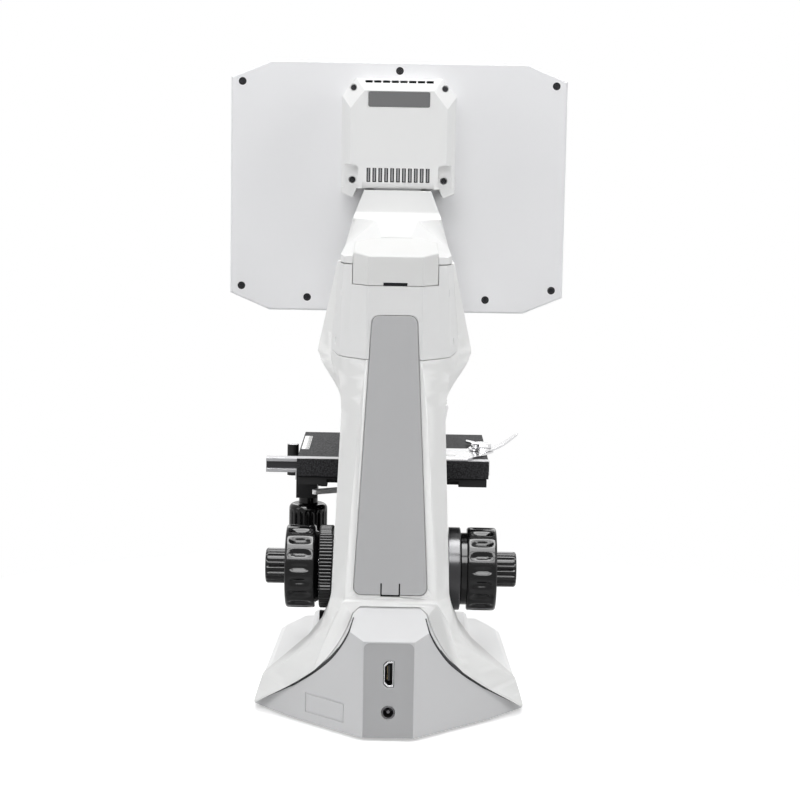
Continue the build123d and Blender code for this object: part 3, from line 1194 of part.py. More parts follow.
# ---- stage ------------------------------------------------------------------------------------
def stage_bracket():
    z0, z1 = SLAB_TOP_Z - SLAB_T, SLAB_TOP_Z
    slab = block(-SLAB_X, SLAB_X, SLAB_FRONT_Y, SLAB_REAR_Y, z0, z1)
    slab -= block(-SLAB_NOTCH_X, SLAB_NOTCH_X, SLAB_NOTCH_Y, SLAB_REAR_Y + 1, z0 - 1, z1 - 1.5)
    notch_y = DRIVE_BLOCK_Y + STAGE_TRAVEL_Y + 2
    slab -= block(DRIVE_NOTCH_X, SLAB_X + 1, -notch_y, notch_y, z0 - 1, z1 + 1)
    slab -= rod_z(0, 0, z0 - 1, z1 + 1, SLAB_BORE_R)
    for s in (1, -1):
        x0, x1 = sorted((s * GUIDE_X0, s * GUIDE_X1))
        slab += block(x0, x1, GUIDE_FRONT_Y, GUIDE_REAR_Y, z1 - 1, STAGE_TOP_Z - STAGE_T - SLIDE)
    # web that hangs in front of the carriage
    slab += block(-WEB_X, WEB_X, WEB_FRONT_Y, CARRIAGE_FRONT_Y - SLIDE, WEB_BOTTOM_Z, z1 - 1)
    # ear that carries the condenser's pinion shaft
    ear = block(EAR_X0, EAR_X1, condenser_axis_y() - EAR_R, condenser_axis_y() + EAR_R, CONDENSER_PINION_Z, z0 + 1)
    ear += rod_x(EAR_X0, EAR_X1, condenser_axis_y(), CONDENSER_PINION_Z, EAR_R)
    slab += ear - rod_x(EAR_X0 - 1, EAR_X1 + 1, condenser_axis_y(), CONDENSER_PINION_Z, CONDENSER_SHAFT_R + RUN)
    return slab + y_drive_rack()


def y_drive_rack():
    """Rack under the slab that the Y drive's pinion rolls along."""
    pitch = 2 * math.pi * Y_PINION_R / Y_PINION_TEETH
    half = DRIVE_BLOCK_Y + STAGE_TRAVEL_Y
    x = DRIVE_X - Y_PINION_R
    points = rack_teeth(pitch, 2 * int(half / pitch + 1) * pitch, 5.0)
    bar = prism_z([(x + v, u) for u, v in points], Y_PINION_Z0, Y_PINION_Z0 + Y_PINION_T)
    return bar + block(x - 5, x - 5 + 3, -half, half, Y_PINION_Z0, SLAB_TOP_Z - SLAB_T + 1)


def stage_top_plate():
    plate = block(-STAGE_X, STAGE_X, STAGE_FRONT_Y, STAGE_REAR_Y, STAGE_TOP_Z - STAGE_T, STAGE_TOP_Z)
    for s in (1, -1):
        x0, x1 = sorted((s * (STAGE_X - SKIRT_W), s * STAGE_X))
        plate += block(x0, x1, STAGE_FRONT_Y, BEAM_FRONT_Y + 1, SKIRT_BOTTOM_Z, STAGE_TOP_Z - 1)
        x0, x1 = sorted((s * (GUIDE_X1 + SLIDE), s * (GUIDE_X1 + SLIDE + RUNNER_W)))
        plate += block(x0, x1, GUIDE_FRONT_Y - 8, GUIDE_REAR_Y + 8, SLAB_TOP_Z + SLIDE, STAGE_TOP_Z - 1)
    plate += block(-STAGE_X, STAGE_X, BEAM_FRONT_Y, STAGE_REAR_Y, BEAM_BOTTOM_Z, STAGE_TOP_Z)
    z0 = STAGE_TOP_Z - XRAIL_H
    channel = block(-STAGE_X - 1, STAGE_X + 1, XRAIL_Y0 - 0.2, XRAIL_Y1 + 0.2, z0 - 0.2, STAGE_TOP_Z + 1)
    tongue_z = z0 + (XRAIL_H - XRAIL_GROOVE_H) / 2
    for y0, y1 in ((XRAIL_Y0 - 0.3, XRAIL_Y0 + XRAIL_GROOVE_D - 0.2), (XRAIL_Y1 - XRAIL_GROOVE_D + 0.2, XRAIL_Y1 + 0.3)):
        channel -= block(-STAGE_X - 1, STAGE_X + 1, y0, y1, tongue_z + 0.2, tongue_z + XRAIL_GROOVE_H - 0.2)
    plate -= channel
    window = block(-STAGE_WINDOW_X, STAGE_WINDOW_X, -STAGE_WINDOW_Y, STAGE_WINDOW_Y, STAGE_TOP_Z - STAGE_T - 1, STAGE_TOP_Z + 1)
    plate -= fillet(window.edges().filter_by(Axis.Z), 8.0)
    return largest(plate)


def pulley_floor():
    return Y_PINION_Z0 + Y_PINION_T + 1.0


def stage_drive_block():
    body = block(DRIVE_BLOCK_X0, DRIVE_BLOCK_X1, -DRIVE_BLOCK_Y, DRIVE_BLOCK_Y, DRIVE_BLOCK_BOTTOM_Z, SKIRT_BOTTOM_Z)
    body -= rod_z(DRIVE_X, 0, DRIVE_BLOCK_BOTTOM_Z - 1, Y_PINION_Z0, Y_SHAFT_R + RUN)
    body += block(DRIVE_BLOCK_X1 - 1, POST_X, POST_Y - POST_R, POST_Y + POST_R, POST_BOTTOM_Z, SKIRT_BOTTOM_Z - 1)
    body += rod_z(POST_X, POST_Y, POST_BOTTOM_Z, POST_TOP_Z, POST_R)
    pinion_r = Y_PINION_R + TOOTH_HEIGHT + SLIDE
    body -= rod_z(DRIVE_X, 0, Y_PINION_Z0 - SLIDE, Y_PINION_Z0 + Y_PINION_T + SLIDE, pinion_r)
    pulley_z = pulley_floor()
    body -= rod_z(DRIVE_X, 0, Y_PINION_Z0, pulley_z + 0.5, X_SHAFT_R + RUN)
    body -= rod_z(DRIVE_X, 0, pulley_z, pulley_z + X_PULLEY_T + 2 * SLIDE, X_PULLEY_R + SLIDE)
    top = pulley_z + X_PULLEY_T + 2 * SLIDE
    body -= block(DRIVE_BLOCK_X0 - 1, DRIVE_X, -X_PULLEY_R - SLIDE, X_PULLEY_R + SLIDE, pulley_z, top)
    body -= block(POST_X - POST_R, POST_X + POST_R, POST_Y - POST_SLOT / 2, POST_Y + POST_SLOT / 2, POST_TOP_Z - 1.2, POST_TOP_Z + 1)
    return largest(body)


def y_drive_knob():
    length = Y_KNOB_TOP_Z - Y_KNOB_BOTTOM_Z
    grip = fluted(Y_KNOB_R, length, KNOB_FLUTES, KNOB_FLUTE_R, 0.7, 0.7)
    knob = grip.moved(Location((DRIVE_X, 0, (Y_KNOB_TOP_Z + Y_KNOB_BOTTOM_Z) / 2)))
    knob += rod_z(DRIVE_X, 0, Y_KNOB_TOP_Z - 1, DRIVE_BLOCK_BOTTOM_Z - SLIDE, Y_COLLAR_R)
    knob += rod_z(DRIVE_X, 0, Y_KNOB_TOP_Z, Y_PINION_Z0 + 1, Y_SHAFT_R)
    knob += gear(Y_PINION_R, Y_PINION_TEETH, Y_PINION_T).moved(Location((DRIVE_X, 0, Y_PINION_Z0), (0, 0, 180)))
    return knob - rod_z(DRIVE_X, 0, Y_KNOB_BOTTOM_Z - 1, SKIRT_BOTTOM_Z, X_SHAFT_R + RUN)


def x_drive_knob():
    z1 = Y_KNOB_BOTTOM_Z - SLIDE
    length = z1 - X_KNOB_BOTTOM_Z
    grip = fluted(X_KNOB_R, length, KNOB_FLUTES, KNOB_FLUTE_R, 0.7)
    knob = grip.moved(Location((DRIVE_X, 0, (z1 + X_KNOB_BOTTOM_Z) / 2)))
    pulley_z = pulley_floor() + SLIDE
    knob += rod_z(DRIVE_X, 0, z1 - 1, pulley_z + 1, X_SHAFT_R)
    pulley = rod_z(DRIVE_X, 0, pulley_z, pulley_z + X_PULLEY_T, X_PULLEY_R)
    pulley -= rod_z(DRIVE_X, 0, pulley_z + 1, pulley_z + 2, X_PULLEY_R + 1) - rod_z(DRIVE_X, 0, pulley_z, pulley_z + 3, X_PULLEY_R - 1)
    return knob + pulley


def x_rail():
    z0 = STAGE_TOP_Z - XRAIL_H
    rail = block(XRAIL_LOW_X, XRAIL_HIGH_X, XRAIL_Y0, XRAIL_Y1, z0, STAGE_TOP_Z)
    groove_z = z0 + (XRAIL_H - XRAIL_GROOVE_H) / 2
    for y0, y1 in ((XRAIL_Y0 - 1, XRAIL_Y0 + XRAIL_GROOVE_D), (XRAIL_Y1 - XRAIL_GROOVE_D, XRAIL_Y1 + 1)):
        rail -= block(XRAIL_LOW_X - 1, XRAIL_HIGH_X + 1, y0, y1, groove_z, groove_z + XRAIL_GROOVE_H)
    return rail


def slide_holder():
    z0 = STAGE_TOP_Z + HOLDER_LIFT
    z1 = z0 + HOLDER_T
    left = HOLDER_X - SLIDE_X / 2
    right = HOLDER_X + SLIDE_X / 2
    outline = [(right + JAW_W, HOLDER_REAR_Y), (right + JAW_W, -SLIDE_Y / 2), (right, -SLIDE_Y / 2), (right, SLIDE_Y / 2),
               (left, SLIDE_Y / 2), (left - 3, SLIDE_Y / 2 - 3), (FINGER_PIVOT_X - 6, SLIDE_Y / 2),
               (FINGER_PIVOT_X - 6, FINGER_PIVOT_Y + 6), (left, HOLDER_REAR_Y)]
    plate = prism_z(outline, z0, z1)
    plate += rod_z(FINGER_PIVOT_X, FINGER_PIVOT_Y, z0, z1, FINGER_HUB_R)
    pin_top = z1 + FINGER_T + 2 * HOLDER_LIFT
    plate += rod_z(FINGER_PIVOT_X, FINGER_PIVOT_Y, z0, pin_top + 0.1, FINGER_PIN_R)
    head = rod_z(FINGER_PIVOT_X, FINGER_PIVOT_Y, pin_top, pin_top + FINGER_PIN_HEAD_T, FINGER_PIN_HEAD_R)
    plate += fillet(head.edges().group_by(Axis.Z)[-1], FINGER_PIN_HEAD_BEVEL)
    # feet that join the plate to the rail
    for x in (left + 6, right - 6):
        plate += block(x - 5, x + 5, XRAIL_Y0 + 1, XRAIL_Y1 - 1, STAGE_TOP_Z, z0 + 0.1)
    return plate


def holder_finger():
    z0 = STAGE_TOP_Z + HOLDER_LIFT + HOLDER_T + HOLDER_LIFT
    z1 = z0 + FINGER_T
    left = HOLDER_X - SLIDE_X / 2
    finger = rod_z(FINGER_PIVOT_X, FINGER_PIVOT_Y, z0, z1, FINGER_HUB_R)
    claw = [(FINGER_PIVOT_X + 3, FINGER_PIVOT_Y - 6), (FINGER_PIVOT_X - 4, FINGER_PIVOT_Y - 6),
            (left - 9, 2.0), (left - 6, -8.0), (left - 1, -SLIDE_Y / 2 - 1), (left - 0.5, -9.0), (left - 3.5, -4.0), (left - 5, 3.0)]
    handle = [(FINGER_PIVOT_X - 6.5, FINGER_PIVOT_Y + 4.0), (FINGER_PIVOT_X - 2, FINGER_PIVOT_Y - 7.5),
              (FINGER_PIVOT_X - 9, FINGER_PIVOT_Y - 9.5), (FINGER_PIVOT_X - 17, FINGER_PIVOT_Y - 15.5),
              (FINGER_PIVOT_X - 23, FINGER_PIVOT_Y - 20.5), (FINGER_PIVOT_X - 24.6, FINGER_PIVOT_Y - 19),
              (FINGER_PIVOT_X - 23.6, FINGER_PIVOT_Y - 14.5), (FINGER_PIVOT_X - 16, FINGER_PIVOT_Y - 5)]
    under = [(x, z0 + rise) for x, rise, thick in FINGER_BOW]
    over = [(x, z0 + rise + thick) for x, rise, thick in reversed(FINGER_BOW)]
    bow = prism_y(under + over, FINGER_PIVOT_Y - 30, FINGER_PIVOT_Y + 10)
    finger = finger + prism_z(claw, z0, z1) + (prism_z(handle, z0, z0 + 12) & bow)
    return finger - rod_z(FINGER_PIVOT_X, FINGER_PIVOT_Y, z0 - 1, z1 + 1, FINGER_PIN_R + RUN)


# ---- condenser --------------------------------------------------------------------------------
def condenser_axis_y():
    return CONDENSER_BLOCK_Y - CONDENSER_PINION_R


def condenser_carrier():
    ring = rod_z(0, 0, CONDENSER_RING_Z0, CONDENSER_RING_Z1, CONDENSER_RING_R)
    rear_y = WEB_FRONT_Y - SLIDE
    ring += block(-CONDENSER_BLOCK_X, CONDENSER_BLOCK_X, CONDENSER_R - 2, rear_y, CONDENSER_RING_Z0, CONDENSER_RING_Z1)
    rack_y = CONDENSER_BLOCK_Y
    pitch = 2 * math.pi * CONDENSER_PINION_R / CONDENSER_PINION_TEETH
    x0, x1 = CONDENSER_PINION_X0, CONDENSER_PINION_X0 + CONDENSER_PINION_W
    ring += block(x0, -CONDENSER_BLOCK_X + 1, rack_y + 2, rear_y, CONDENSER_RING_Z0, CONDENSER_RING_Z1)
    points = rack_teeth(pitch, 8 * pitch, 4.0)
    rack = prism_x([(rack_y - v, CONDENSER_PINION_Z + u) for u, v in points], x0, x1)
    rack &= block(x0, x1, 0, WEB_FRONT_Y, CONDENSER_PINION_Z - 6, SLAB_TOP_Z - SLAB_T - SLIDE)
    ring += rack
    return ring - rod_z(0, 0, CONDENSER_RING_Z0 - 1, CONDENSER_RING_Z1 + 1, CONDENSER_R)


def condenser():
    body = rod_z(0, 0, CONDENSER_BOTTOM_Z, IRIS_Z, CONDENSER_R)
    body += rod_z(0, 0, IRIS_Z - 1, IRIS_Z + IRIS_T + 1, CONDENSER_R - 3)
    body += rod_z(0, 0, IRIS_Z + IRIS_T + SLIDE, CONDENSER_SHOULDER_Z, CONDENSER_R)
    profile = [(0, CONDENSER_SHOULDER_Z - 1), (CONDENSER_R - 1, CONDENSER_SHOULDER_Z - 1), (CONDENSER_R - 1, CONDENSER_SHOULDER_Z + 4),
               (CONDENSER_TOP_R, CONDENSER_TOP_Z - 2), (CONDENSER_TOP_R, CONDENSER_TOP_Z), (0, CONDENSER_TOP_Z)]
    body += revolve(make_face(Polyline(*[(r, 0, z) for r, z in profile], close=True)), Axis.Z)
    body -= rod_z(0, 0, CONDENSER_BOTTOM_Z - 1, CONDENSER_TOP_Z - 8, CONDENSER_BORE_R)
    return body - rod_z(0, 0, CONDENSER_TOP_Z - 8.5, CONDENSER_TOP_Z + 1, CONDENSER_LENS_R)


def condenser_lens():
    lens = rod_z(0, 0, CONDENSER_TOP_Z - 8.5, CONDENSER_TOP_Z - 0.3, CONDENSER_LENS_R)
    return lens


def iris_lever():
    z0, z1 = IRIS_Z + SLIDE / 2, IRIS_Z + IRIS_T
    ring = rod_z(0, 0, z0, z1, IRIS_RING_R)
    reach = math.hypot(LEVER_END_X, LEVER_END_Y)
    arm = block(CONDENSER_R, reach, -LEVER_W / 2, LEVER_W / 2, z0, z1)
    arm = fillet([e for e in arm.edges().filter_by(Axis.Z) if e.center().X > reach - 1], LEVER_W / 2 - 0.2)
    ring += arm.moved(Location((0, 0, 0), (0, 0, math.degrees(math.atan2(LEVER_END_Y, LEVER_END_X)))))
    return ring - rod_z(0, 0, z0 - 1, z1 + 1, CONDENSER_R - 3 + RUN)


def condenser_knob():
    y = condenser_axis_y()
    teeth = gear(CONDENSER_PINION_R, CONDENSER_PINION_TEETH, CONDENSER_PINION_W)
    teeth = teeth.moved(Location((CONDENSER_PINION_X0, y, CONDENSER_PINION_Z), (0, 90, 0)))
    teeth = teeth.rotate(Axis((0, y, CONDENSER_PINION_Z), (1, 0, 0)), 90.0 % (360.0 / CONDENSER_PINION_TEETH))
    shaft = rod_x(CONDENSER_KNOB_X + 3, CONDENSER_PINION_X0 + 1, y, CONDENSER_PINION_Z, CONDENSER_SHAFT_R)
    width = EAR_X0 - SLIDE - CONDENSER_KNOB_X
    grip = fluted(CONDENSER_KNOB_R, width, KNOB_FLUTES, KNOB_FLUTE_R, 0.6)
    grip = grip.moved(Location((CONDENSER_KNOB_X + width / 2, y, CONDENSER_PINION_Z), (0, 90, 0)))
    return teeth + shaft + grip


# ---- screen -----------------------------------------------------------------------------------
def hinge_y():
    return HUMP_REAR_Y - HINGE_R


def hinge_z():
    return HUMP_BOTTOM_Z + HINGE_R


def screen_outline(inset=0.0):
    x, top, bottom = SCREEN_X - inset, SCREEN_TOP_Z - inset, SCREEN_BOTTOM_Z + inset
    cut = inset * 0.3
    right = [(x - SCREEN_CUT_X + cut, top), (x, top - SCREEN_CUT_Z + cut),
             (x, bottom + SCREEN_CUT_Z - cut), (x - SCREEN_CUT_X + cut, bottom)]
    return both_sides(right)


def case_screw_spots():
    side_x = SCREEN_X - 7.4
    pairs = [(side_x, SCREEN_TOP_Z - 14.0), (side_x, SCREEN_BOTTOM_Z + 15.8), (59.0, SCREEN_BOTTOM_Z + 8.8)]
    return [(0, SCREEN_TOP_Z - 5.8)] + [(s * x, z) for s in (1, -1) for x, z in pairs]


def hump_screw_spots():
    return [(s * HUMP_SCREW_X, z) for s in (1, -1) for z in (HUMP_SCREW_TOP_Z, HUMP_SCREW_LOW_Z)]


def board_spots():
    return [(s * (BOARD_X - 5), z) for s in (1, -1) for z in (BOARD_Z0 + 5, BOARD_Z1 - 5)]


def lcd_rear_cover():
    front_y = SCREEN_REAR_Y - SCREEN_BODY
    cover = prism_y(screen_outline(), front_y, SCREEN_REAR_Y)
    cover = chamfer([e for e in cover.edges() if e.center().Y > SCREEN_REAR_Y - 0.01], SCREEN_EDGE)
    cover -= prism_y(screen_outline(SCREEN_WALL), front_y - 1, SCREEN_REAR_Y - SCREEN_WALL)
    for x, z in board_spots():
        cover += rod_y(x, SCREEN_REAR_Y - SCREEN_WALL - STANDOFF_H, SCREEN_REAR_Y - SCREEN_WALL + 0.5, z, STANDOFF_R)
    for x, z in case_screw_spots():
        cover -= rod_y(x, front_y - 1, SCREEN_REAR_Y + 1, z, CASE_SCREW_R)
        cover -= rod_y(x, SCREEN_REAR_Y - CASE_SINK_D, SCREEN_REAR_Y + 1, z, CASE_SINK_R)
    for x, z in hump_screw_spots():
        cover -= rod_y(x, SCREEN_REAR_Y - SCREEN_WALL - 1, SCREEN_REAR_Y + 1, z, CASE_SCREW_R)
    return cover - block(-CABLE_X, CABLE_X, SCREEN_REAR_Y - SCREEN_WALL - 1, SCREEN_REAR_Y + 1, CABLE_Z0, CABLE_Z1)


def lcd_bezel():
    rear_y = SCREEN_REAR_Y - SCREEN_BODY
    front_y = rear_y - BEZEL_T
    frame = prism_y(screen_outline(), front_y, rear_y)
    frame = chamfer([e for e in frame.edges() if e.center().Y < front_y + 0.01], SCREEN_EDGE)
    frame -= block(-WINDOW_X, WINDOW_X, front_y - 1, rear_y + 1, WINDOW_BOTTOM_Z, WINDOW_TOP_Z)
    margin = PANEL_MARGIN
    frame -= block(-WINDOW_X - margin, WINDOW_X + margin, front_y + BEZEL_LIP, rear_y + 1, WINDOW_BOTTOM_Z - margin, WINDOW_TOP_Z + margin)
    for x, z in case_screw_spots():
        boss = rod_y(x, front_y + BEZEL_LIP, SCREEN_REAR_Y - SCREEN_WALL, z, CASE_BOSS_R)
        frame += boss - rod_y(x, front_y + 4, SCREEN_REAR_Y, z, CASE_SCREW_R)
    return frame


def lcd_panel():
    y0 = SCREEN_REAR_Y - SCREEN_BODY - BEZEL_T + BEZEL_LIP
    m = PANEL_MARGIN
    return block(-WINDOW_X - m, WINDOW_X + m, y0, y0 + PANEL_T, WINDOW_BOTTOM_Z - m, WINDOW_TOP_Z + m)


def display_board():
    y1 = SCREEN_REAR_Y - SCREEN_WALL - STANDOFF_H
    board = block(-BOARD_X, BOARD_X, y1 - BOARD_T, y1, BOARD_Z0, BOARD_Z1)
    board += block(-CHIP_X, CHIP_X, y1 - BOARD_T - CHIP_T, y1 - BOARD_T + 0.1, CHIP_Z0, CHIP_Z1)
    return board + block(SOCKET_X0, SOCKET_X1, y1 - BOARD_T - SOCKET_T, y1 - BOARD_T + 0.1, SOCKET_Z0, SOCKET_Z1)


def case_screw(x, z, head_y, tip_y):
    head = rod_y(x, head_y - CASE_HEAD_T, head_y, z, CASE_HEAD_R)
    return (head + rod_y(x, tip_y, head_y - 0.1, z, CASE_SCREW_R)).solid()


def lcd_case_screws():
    """The screws of the screen's back and the longer reach of the four that hold the hump."""
    screws = [case_screw(x, z, SCREEN_REAR_Y - CASE_SINK_D + CASE_HEAD_T, SCREEN_REAR_Y - 14) for x, z in case_screw_spots()]
    screws += [case_screw(x, z, HUMP_REAR_Y - 9 + CASE_HEAD_T, SCREEN_REAR_Y - SCREEN_WALL) for x, z in hump_screw_spots()]
    return Compound(screws)


def hump_outline(x, top, bottom, inset=0.0):
    cut_x, cut_z = HUMP_CUT_X, HUMP_CUT_Z
    return both_sides([(x - cut_x - inset, top - inset), (x - inset, top - cut_z - inset * 0.5), (x - inset, bottom + inset)])


def hump_solid(inset=0.0):
    """The electronics box on the screen's back: straight sides, then a taper to its rear plateau."""
    base = prism_y(hump_outline(HUMP_X, HUMP_TOP_Z, HUMP_BOTTOM_Z, inset), SCREEN_REAR_Y, HUMP_WALL_Y)
    low = hump_outline(HUMP_X, HUMP_TOP_Z, HUMP_BOTTOM_Z, inset)
    high = hump_outline(HUMP_PLATEAU_X, HUMP_PLATEAU_TOP_Z, HUMP_BOTTOM_Z, inset)
    faces = [make_face(Polyline(*[(x, y, z) for x, z in points], close=True))
             for points, y in ((low, HUMP_WALL_Y), (high, HUMP_REAR_Y - inset))]
    return base + loft(faces, ruled=True)


def hump_corner(side, grow):
    """Scoop round a lower screw, or with grow the wall about it."""
    x0, x1 = sorted((side * (HUMP_CORNER_X - grow), side * (HUMP_X + 5)))
    scoop = block(x0, x1, HUMP_CORNER_Y - grow, HUMP_REAR_Y + 5, HUMP_BOTTOM_Z - 5, HUMP_CORNER_Z + grow)
    upright = [e for e in scoop.edges().filter_by(Axis.Y) if abs(e.center().X) < HUMP_CORNER_X + 1 and e.center().Z > HUMP_CORNER_Z - 1]
    return fillet(upright, HUMP_CORNER_R + grow)


def lcd_hump_cover():
    hump = hump_solid()
    bottom = [e for e in hump.edges() if e.center().Y > HUMP_REAR_Y - 0.01 and e.center().Z < HUMP_BOTTOM_Z + 0.01]
    hump = fillet(bottom, HINGE_R - 0.01)
    hump -= hump_solid(HUMP_WALL) & block(-HUMP_X, HUMP_X, SCREEN_REAR_Y - 1, HUMP_REAR_Y, HUMP_BOTTOM_Z, HUMP_TOP_Z)
    for x, z in hump_screw_spots():
        hump += (rod_y(x, SCREEN_REAR_Y, HUMP_REAR_Y - 3, z, HUMP_POCKET_R) & hump_solid())
    for side in (1, -1):
        wall = HUMP_CORNER_WALL
        hump += hump_corner(side, wall) & hump_solid()
        hump -= hump_corner(side, 0.0)
    for x, z in hump_screw_spots():
        hump -= rod_y(x, SCREEN_REAR_Y - 1, HUMP_REAR_Y + 1, z, CASE_SCREW_R)
        hump -= rod_y(x, HUMP_REAR_Y - 9, HUMP_REAR_Y + 1, z, CASE_HEAD_R + 0.5)
    span = (VENT_COUNT - 1) * VENT_PITCH
    for i in range(VENT_COUNT):
        x = -span / 2 + i * VENT_PITCH
        hump -= block(x - VENT_W / 2, x + VENT_W / 2, HUMP_REAR_Y - HUMP_WALL - 1, HUMP_REAR_Y + 1, VENT_Z - VENT_H / 2, VENT_Z + VENT_H / 2)
    span = (TOP_VENT_COUNT - 1) * TOP_VENT_PITCH
    top_z = (HUMP_TOP_Z + HUMP_PLATEAU_TOP_Z) / 2
    for i in range(TOP_VENT_COUNT):
        x = -span / 2 + i * TOP_VENT_PITCH
        hump -= block(x - TOP_VENT_W / 2, x + TOP_VENT_W / 2, HUMP_WALL_Y - 5, HUMP_REAR_Y + 1, top_z + 1, top_z + 1 + TOP_VENT_H)
    hump -= block(-PLATE_X, PLATE_X, HUMP_REAR_Y - PLATE_SINK, HUMP_REAR_Y + 1, PLATE_Z0, PLATE_Z1)
    y = hinge_y()
    hump -= block(-HINGE_SLOT_X, HINGE_SLOT_X, y - 9.5, y + 0.6, HUMP_BOTTOM_Z - 1, hinge_z())
    hump -= rod_x(-HINGE_SLOT_X, HINGE_SLOT_X, y, hinge_z(), KNUCKLE_R + SLIDE)
    return largest(hump)


def hinge_bracket():
    """Fixed half of the screen's hinge, screwed inside the neck, with its pin."""
    y, z = hinge_y(), hinge_z()
    web_y = y - 6.5
    web = block(-HINGE_X, HINGE_X, web_y, web_y + HINGE_WEB_T, NECK_TOP_Z - 14, z - KNUCKLE_R)
    bracket = web
    for s in (1, -1):
        x0, x1 = sorted((s * HINGE_X, s * (HINGE_X - KNUCKLE_W)))
        bracket += rod_x(x0, x1, y, z, KNUCKLE_R)
        bracket += block(x0, x1, web_y, y, z - KNUCKLE_R, z + 0.5)
    foot = block(-HINGE_X, HINGE_X, web_y, NECK_REAR_Y - COVER_WALL, NECK_TOP_Z - 14, NECK_TOP_Z - 12)
    return bracket + foot + rod_x(-HINGE_X, HINGE_X, y, z, HINGE_PIN_R)


def hinge_leaf():
    """Moving half of the screen's hinge, screwed to the screen's back."""
    y, z = hinge_y(), hinge_z()
    half = HINGE_X - KNUCKLE_W - SLIDE
    leaf = rod_x(-half, half, y, z, KNUCKLE_R)
    leaf += block(-half, half, SCREEN_REAR_Y + 2, y, z + KNUCKLE_R - 2.2, z + KNUCKLE_R)
    leaf += block(-half, half, SCREEN_REAR_Y, SCREEN_REAR_Y + 2.2, z + KNUCKLE_R - 2.2, z + 16)
    return leaf - rod_x(-half - 1, half + 1, y, z, HINGE_PIN_R + RUN)


# ---- hand-out ---------------------------------------------------------------------------------
def all_pieces():
    pieces = {
        "base_casting": base_casting(),
        "base_bottom_plate": base_bottom_plate(),
        "rubber_feet": rubber_feet(),
        "base_plate_screws": base_plate_screws(),
        "arm_casting": arm_casting(),
        "focus_housing": focus_housing(),
        "head_casting": head_casting(),
        "arm_cover_screws": arm_cover_screws(),
        "upper_arm_cover": upper_arm_cover(),
        "arm_cap": arm_cap(),
        "head_top_cover": head_top_cover(),
        "rear_access_cover": rear_access_cover(),
        "rear_connector_cover": rear_connector_cover(),
        "connector_board": connector_board(),
        "hdmi_receptacle": hdmi_receptacle(),
        "dc_power_jack": dc_power_jack(),
        "nosepiece_mount": nosepiece_mount(),
        "nosepiece_turret": nosepiece_turret(),
        "tube_lens_cell": tube_lens_cell(),
        "tube_lens": tube_lens(),
        "camera_board": camera_board(),
        "collector_housing": collector_housing(),
        "collector_lens": collector_lens(),
        "led_module": led_module(),
        "dimmer_knob": dimmer_knob(),
        "shaft_bushings": shaft_bushings(),
        "coarse_shaft": coarse_shaft(),
        "coarse_knobs": coarse_knobs(),
        "fine_shaft": fine_shaft(),
        "fine_knobs": fine_knobs(),
        "tension_ring": tension_ring(),
        "limit_ring": limit_ring(),
        "focus_guide": focus_guide(),
        "focus_carriage": focus_carriage(),
        "focus_rack": focus_rack(),
        "stage_bracket": stage_bracket(),
        "stage_top_plate": stage_top_plate(),
        "stage_drive_block": stage_drive_block(),
        "y_drive_knob": y_drive_knob(),
        "x_drive_knob": x_drive_knob(),
        "x_rail": x_rail(),
        "slide_holder": slide_holder(),
        "holder_finger": holder_finger(),
        "condenser_carrier": condenser_carrier(),
        "condenser": condenser(),
        "condenser_lens": condenser_lens(),
        "iris_lever": iris_lever(),
        "condenser_knob": condenser_knob(),
        "lcd_rear_cover": lcd_rear_cover(),
        "lcd_bezel": lcd_bezel(),
        "lcd_panel": lcd_panel(),
        "display_board": display_board(),
        "lcd_case_screws": lcd_case_screws(),
        "lcd_hump_cover": lcd_hump_cover(),
        "hinge_bracket": hinge_bracket(),
        "hinge_leaf": hinge_leaf(),
    }
    for i, name in enumerate(OBJECTIVE_NAMES):
        pieces["objective_" + name] = objective(i)
    return pieces


def main():
    os.makedirs("parts", exist_ok=True)
    frame_shift = Location((0, -(TAIL_Y + FRONT_Y) / 2, 0))
    for node, shape in all_pieces().items():
        export_step(shape.moved(frame_shift), "parts/" + node + ".step")


main()
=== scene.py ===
import math

import bmesh
import bpy
from mathutils import Matrix, Vector


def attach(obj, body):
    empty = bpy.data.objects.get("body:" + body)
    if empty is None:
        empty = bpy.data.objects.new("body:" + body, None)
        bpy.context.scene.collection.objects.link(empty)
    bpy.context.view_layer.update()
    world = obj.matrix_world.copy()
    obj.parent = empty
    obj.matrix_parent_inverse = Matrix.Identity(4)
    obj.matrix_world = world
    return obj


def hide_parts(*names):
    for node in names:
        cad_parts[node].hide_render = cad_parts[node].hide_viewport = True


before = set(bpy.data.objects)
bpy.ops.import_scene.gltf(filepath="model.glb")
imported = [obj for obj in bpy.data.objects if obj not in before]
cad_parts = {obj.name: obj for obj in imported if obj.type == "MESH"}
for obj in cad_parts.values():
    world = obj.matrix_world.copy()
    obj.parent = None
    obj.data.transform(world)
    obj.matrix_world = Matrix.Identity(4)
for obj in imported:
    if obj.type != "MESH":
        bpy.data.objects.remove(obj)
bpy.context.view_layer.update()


# ---- Bench, light and camera ----
# A white sweep of bench paper with soft boxes overhead and behind the camera.
# The paper is a little brighter to the eye than to the object, so that it stays clean white
# and still holds the shadow under the base.
bpy.context.scene.view_settings.view_transform = "Standard"


def stand_up(name, data):
    """An object in the scene for a mesh, a lamp or the camera."""
    shape = bpy.data.objects.new(name, data)
    bpy.context.scene.collection.objects.link(shape)
    return shape


